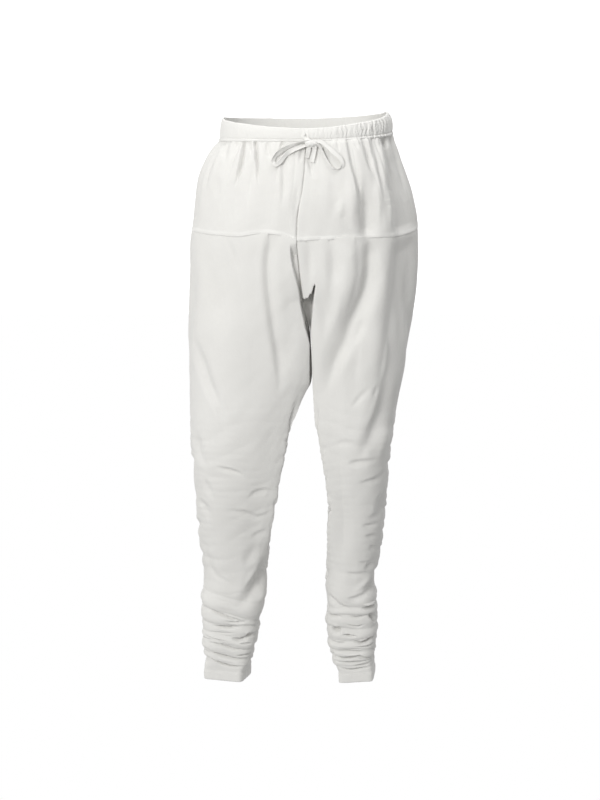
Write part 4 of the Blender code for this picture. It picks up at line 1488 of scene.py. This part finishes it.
def make_knot():
    """The knot: tape wound over the crossing, with its own folds."""
    middle = np.array([KNOT["x"], front_of(KNOT["x"], KNOT["z"]) - KNOT["proud"], KNOT["z"]])
    turns, rings = 96, 56
    u = np.linspace(0, 2 * np.pi, turns + 1)[None, :]
    v = np.linspace(0, np.pi, rings + 1)[:, None]
    half = np.array([KNOT["wide"] / 2, KNOT["deep"] / 2, KNOT["tall"] / 2])
    x = np.cos(v) + 0 * u
    ring = np.sin(v) ** 0.8
    y = -ring * np.cos(u)
    z = ring * np.sin(u)
    wrap = bell((x + 0.05 + 0.25 * z) / 0.36, 6)
    crease = 0.09 * np.sin(13 * (x + 0.25 * z) + 0.7) + 0.05 * np.sin(24 * (x + 0.25 * z))
    side_fold = 0.10 * np.sin(9 * z + 5 * x) + 0.05 * np.sin(17 * z - 6 * x)
    swell = 0.86 + 0.16 * wrap + crease * wrap + side_fold * (1 - wrap)
    grid = np.stack([x, y * swell, z * swell], axis=-1) * half + middle
    count = turns + 1
    index = np.arange((rings + 1) * count).reshape(rings + 1, count)
    four = quads(index)
    same = np.arange(index.size)
    same[index[:, -1]] = index[:, 0]
    same[index[0]] = index[0, 0]
    same[index[-1]] = index[-1, 0]
    kept = same[four]
    flat = (kept[:, 0] == kept[:, 3]) | (kept[:, 1] == kept[:, 2])
    three = np.where(kept[:, :1] == kept[:, 3:], four[:, [0, 1, 2]], four[:, [0, 1, 3]])[flat]
    plan = np.stack([20 * x + 0 * u, 4 * u + 0 * v], axis=-1).reshape(-1, 2)
    points = grid.reshape(-1, 3)
    return make_mesh("knot", points, four[~flat], three, same, plan, 1.0)


# ---- stitching ----

STITCH = {"long": 2.1, "gap": 0.8, "thick": 0.34}


def stitches(name, line, normal):
    """A run of real stitches along a line of points on the cloth."""
    step = np.linalg.norm(np.diff(line, axis=0), axis=1)
    run = np.concatenate([[0], np.cumsum(step)])
    pitch = STITCH["long"] + STITCH["gap"]
    count = int(run[-1] / pitch)
    starts = (np.arange(count) + 0.2) * pitch
    t = np.array([0.0, 0.25, 0.75, 1.0]) * STITCH["long"]
    sink = np.array([-0.35, 0.12, 0.12, -0.35])
    size = np.array([0.35, 1.0, 1.0, 0.35]) * STITCH["thick"] / 2
    at = (starts[:, None] + t[None, :]).ravel()

    def read(rows, at):
        return np.stack([np.interp(at, run, rows[:, k]) for k in range(3)], axis=-1)

    place = read(line, at)
    up = unit(read(normal, at))
    way = read(line, at + 0.2) - place
    way /= np.maximum(np.linalg.norm(way, axis=1, keepdims=True), 1e-6)
    beside = np.cross(way, up)
    place = place + up * np.tile(sink, count)[:, None]
    corners = [
        place + (beside * math.cos(a) + up * math.sin(a)) * np.tile(size, count)[:, None]
        for a in np.radians([45, 135, 225, 315])
    ]
    points = np.stack(corners, axis=1).reshape(-1, 3)
    base = np.arange(count)[:, None, None] * 16
    ring = np.arange(3)[None, :, None] * 4
    k = np.arange(4)[None, None, :]
    a = base + ring + k
    b = base + ring + (k + 1) % 4
    four = np.stack([a, b, b + 4, a + 4], axis=-1).reshape(-1, 4)
    ends = np.arange(count)[:, None] * 16
    caps = np.concatenate([ends + [[3, 2, 1, 0]], ends + 12 + [[0, 1, 2, 3]]])
    four = np.vstack([four, caps])
    plan = np.zeros((len(points), 2))
    three = np.zeros((0, 3), int)
    return make_mesh(name, points, four, three, np.arange(len(points)), plan, 1.0)


# ---- materials ----


class Nodes:
    """A small helper that adds linked nodes to a material."""

    def __init__(self, material):
        material.use_nodes = True
        self.tree = material.node_tree
        self.tree.nodes.clear()

    def add(self, kind, settings=None, **sockets):
        """A node with its sockets linked or set; _0 is the first socket."""
        node = self.tree.nodes.new(kind)
        for name, value in (settings or {}).items():
            setattr(node, name, value)
        for name, value in sockets.items():
            socket = node.inputs[int(name[1:])] if name[0] == "_" else node.inputs[name]
            if isinstance(value, bpy.types.NodeSocket):
                self.tree.links.new(value, socket)
            else:
                socket.default_value = value
        return node

    def math(self, operation, *values):
        sockets = {f"_{i}": value for i, value in enumerate(values)}
        return self.add("ShaderNodeMath", {"operation": operation}, **sockets).outputs[0]

    def noise(self, place, scale, detail, roughness=0.5):
        sizes = {"Scale": scale, "Detail": detail, "Roughness": roughness}
        return self.add("ShaderNodeTexNoise", Vector=place, **sizes).outputs[0]

    def ranged(self, value, low, high, start=0.0, end=1.0):
        """The value made to run from low to high while it goes from start to end."""
        limits = {"From Min": start, "From Max": end, "To Min": low, "To Max": high}
        return self.add("ShaderNodeMapRange", Value=value, **limits).outputs[0]

    def mixed(self, share, first, second, blend="MIX"):
        settings = {"data_type": "RGBA", "blend_type": blend}
        return self.add("ShaderNodeMix", settings, _0=share, _6=first, _7=second).outputs[2]

    def bump(self, height, strength, distance, **normal):
        sizes = {"Strength": strength, "Distance": distance}
        return self.add("ShaderNodeBump", Height=height, **sizes, **normal).outputs[0]


THREAD_PITCH = 0.00042
COTTON_TONE = (0.80, 0.795, 0.775, 1)
COTTON_LAYERED = (0.86, 0.855, 0.835, 1)
COTTON_SHADE = (0.765, 0.758, 0.733, 1)
WHITE = (1.0, 1.0, 1.0, 1)
SLUBS = 2300  # thick and thin places of the threads, across and along them, in a metre
SLUB_LENGTHS = 90
CRUMPLE_DEPTH = 0.0011
TRANSLUCENCY = 0.22
# The way the grain is turned from the cloth's own plan, its sheen and its weave's depth in metres.
CLOTHS = {
    "cotton_straight": (0, 0.25, 0.00006),
    "cotton_bias": (45, 0.25, 0.00006),
    "tape_cotton": (0, 0.2, 0.0001),
    "thread_cotton": (0, 0.1, 0.00005),
}


def cloth_material(name, turn, sheen, weave_depth):
    """Plain-woven cotton: its threads, slubs, small change of colour, and a soft sheen."""
    material = bpy.data.materials.new(name)
    nodes = Nodes(material)
    plan = nodes.add("ShaderNodeUVMap", {"uv_map": "cloth"}).outputs[0]
    grain = nodes.add("ShaderNodeMapping", Vector=plan, Rotation=(0, 0, math.radians(turn)))
    split = nodes.add("ShaderNodeSeparateXYZ", Vector=grain.outputs[0])
    warp, weft = (
        nodes.math("SINE", nodes.math("MULTIPLY", split.outputs[k], math.pi / THREAD_PITCH))
        for k in range(2)
    )
    streaks = []
    for scale in ((SLUBS, SLUB_LENGTHS, 1), (SLUB_LENGTHS, SLUBS, 1)):
        stretched = nodes.add("ShaderNodeMapping", Vector=grain.outputs[0], Scale=scale)
        streaks.append(nodes.noise(stretched.outputs[0], 1.0, 2.0))
    slubs = nodes.math("ADD", *streaks)
    place = nodes.add("ShaderNodeTexCoord").outputs["Object"]
    broad = nodes.noise(place, 7.0, 3.0)
    fuzz = nodes.noise(place, 420.0, 3.0)
    crumple = nodes.noise(place, 62.0, 4.0, 0.55)
    layers = nodes.add("ShaderNodeAttribute", {"attribute_name": "layers"}).outputs["Fac"]
    tone = nodes.mixed(broad, COTTON_SHADE, COTTON_TONE)
    dense = nodes.mixed(layers, tone, COTTON_LAYERED)
    colour = nodes.mixed(1.0, dense, nodes.ranged(slubs, 0.965, 1.0, 0.6, 1.4), "MULTIPLY")
    height = nodes.math("ADD", nodes.math("MULTIPLY", nodes.math("MULTIPLY", warp, weft), 0.25), slubs)
    fine = nodes.bump(height, 0.5, weave_depth)
    soft = nodes.bump(crumple, 0.55, CRUMPLE_DEPTH, Normal=fine)
    look = {
        "Base Color": colour, "Roughness": nodes.ranged(fuzz, 0.78, 0.95), "Normal": soft,
        "Specular IOR Level": 0.22, "Sheen Weight": sheen, "Sheen Roughness": 0.45,
    }
    shader = nodes.add("ShaderNodeBsdfPrincipled", **look).outputs[0]
    through = nodes.add("ShaderNodeBsdfTranslucent", Color=colour, Normal=soft).outputs[0]
    both = nodes.add("ShaderNodeMixShader", _0=TRANSLUCENCY, _1=shader, _2=through)
    nodes.add("ShaderNodeOutputMaterial", Surface=both.outputs[0])
    return material


def paper_material():
    """White studio paper that throws a little light back up."""
    material = bpy.data.materials.new("studio_paper")
    nodes = Nodes(material)
    seen = nodes.add("ShaderNodeLightPath").outputs["Is Camera Ray"]
    strength = nodes.math("MAXIMUM", seen, PAPER_GLOW)
    shader = nodes.add("ShaderNodeEmission", Color=WHITE, Strength=strength)
    nodes.add("ShaderNodeOutputMaterial", Surface=shader.outputs[0])
    return material


# ---- camera, light and floor ----

FLOOR_Z = -1.075
PAPER_GLOW = 0.58
PAPER_HALF = 7.0
WORLD_LIGHT = {"dark": 0.37, "bright": 0.88, "behind": 0.8}
LIGHTS = {
    "key": {
        "place": (-1.5, -2.75, 0.7), "aim": (0, 0, -0.3), "size": 1.1, "power": 68.5,
        "colour": (1.0, 0.995, 0.98),
    },
    "top": {
        "place": (0.25, -0.3, 0.75), "aim": (0, 0.05, 0), "size": 0.4, "power": 3.4,
        "colour": (1.0, 1.0, 1.0),
    },
}


def point(made, place, way):
    """Puts a camera or a light at a place, facing along a direction."""
    made.location = place
    made.rotation_mode = "QUATERNION"
    made.rotation_quaternion = way.to_track_quat("-Z", "Y")


def make_camera():
    data = bpy.data.cameras.new("camera")
    data.lens = CAMERA["lens"]
    data.sensor_width = CAMERA["sensor"]
    camera = link("camera", data)
    point(camera, CAMERA["place"], Vector(camera_axes()[2]))
    bpy.context.scene.camera = camera


def make_light(name, place, aim, size, power, colour):
    data = bpy.data.lights.new(name, "AREA")
    data.shape = "RECTANGLE"
    data.size = data.size_y = size
    data.energy = power
    data.color = colour
    point(link(name, data), place, Vector(aim) - Vector(place))


def make_paper():
    """The paper that the garment is seen on: a plain white floor."""
    corners = [(-1, -1), (1, -1), (1, 1), (-1, 1)]
    points = [(x * PAPER_HALF, y * PAPER_HALF, FLOOR_Z) for x, y in corners]
    mesh = bpy.data.meshes.new("paper")
    mesh.from_pydata(points, [], [(0, 1, 2, 3)])
    mesh.materials.append(paper_material())
    link("paper", mesh)


def make_world():
    """Light from all round: brighter from -x, from above and from behind the garment."""
    world = bpy.data.worlds.new("studio")
    nodes = Nodes(world)
    way = nodes.add("ShaderNodeTexCoord").outputs["Generated"]
    split = nodes.add("ShaderNodeSeparateXYZ", Vector=way)
    across = nodes.math("MULTIPLY", split.outputs[0], -0.6)
    up = nodes.math("MULTIPLY", split.outputs[2], 0.4)
    dark, bright = WORLD_LIGHT["dark"], WORLD_LIGHT["bright"]
    share = nodes.ranged(nodes.math("ADD", across, up), dark, bright, -0.6, 0.9)
    behind = nodes.math("MAXIMUM", split.outputs[1], 0.0)
    behind = nodes.math("MULTIPLY", behind, WORLD_LIGHT["behind"])
    total = nodes.math("ADD", share, behind)
    seen = nodes.add("ShaderNodeLightPath").outputs["Is Camera Ray"]
    strength = nodes.math("MAXIMUM", total, seen)
    shade = nodes.add("ShaderNodeBackground", Color=WHITE, Strength=strength)
    nodes.add("ShaderNodeOutputWorld", Surface=shade.outputs[0])
    bpy.context.scene.world = world


def make_studio():
    make_paper()
    make_world()
    for name, light in LIGHTS.items():
        make_light(name, **light)
    view = bpy.context.scene.view_settings
    view.view_transform = "Standard"
    view.look = "None"
    view.exposure = 0.0


# ---- the whole ----


def dress(material, slot, *pieces):
    for piece in pieces:
        piece.data.materials.append(material)
        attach(piece, "root")


def make_drawstring(tape):
    """Both halves of the tape and the knot between them."""
    ends = {"left": "tape_end_left", "right": "tape_end_right"}
    slit = {"left": 0.5, "right": -0.5}
    crumple = {"left": 1.0, "right": 2.2}
    for k, side in enumerate(("left", "right")):
        loop, end = STRANDS[f"bow_loop_{side}"], STRANDS[ends[side]]
        made, path, length = make_tape(
            f"drawstring_{side}", loop, end, 1.7 * k, slit[side], crumple[side]
        )
        dress(tape, "tape", made)
        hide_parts(f"bow_loop_{side}", ends[side])
    knot = make_knot()
    dress(tape, "tape", knot)
    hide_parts("bow_knot")


def main():
    make_camera()
    straight, bias, tape, thread = (cloth_material(name, *look) for name, look in CLOTHS.items())
    make_drawstring(tape)
    casing, threads = make_waistband()
    dress(straight, "cotton", casing)
    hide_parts("waistband")
    dress(thread, "cotton", *threads)
    for side in SIDES:
        made, threads = make_yoke(side)
        dress(straight, "cotton", made)
        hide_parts(f"yoke_{side}")
        dress(thread, "cotton", *threads)
        made, threads = make_leg(side)
        dress(bias, "cotton", made)
        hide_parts(f"leg_{side}")
        dress(thread, "cotton", *threads)
    make_studio()
    bpy.context.view_layer.update()


main()
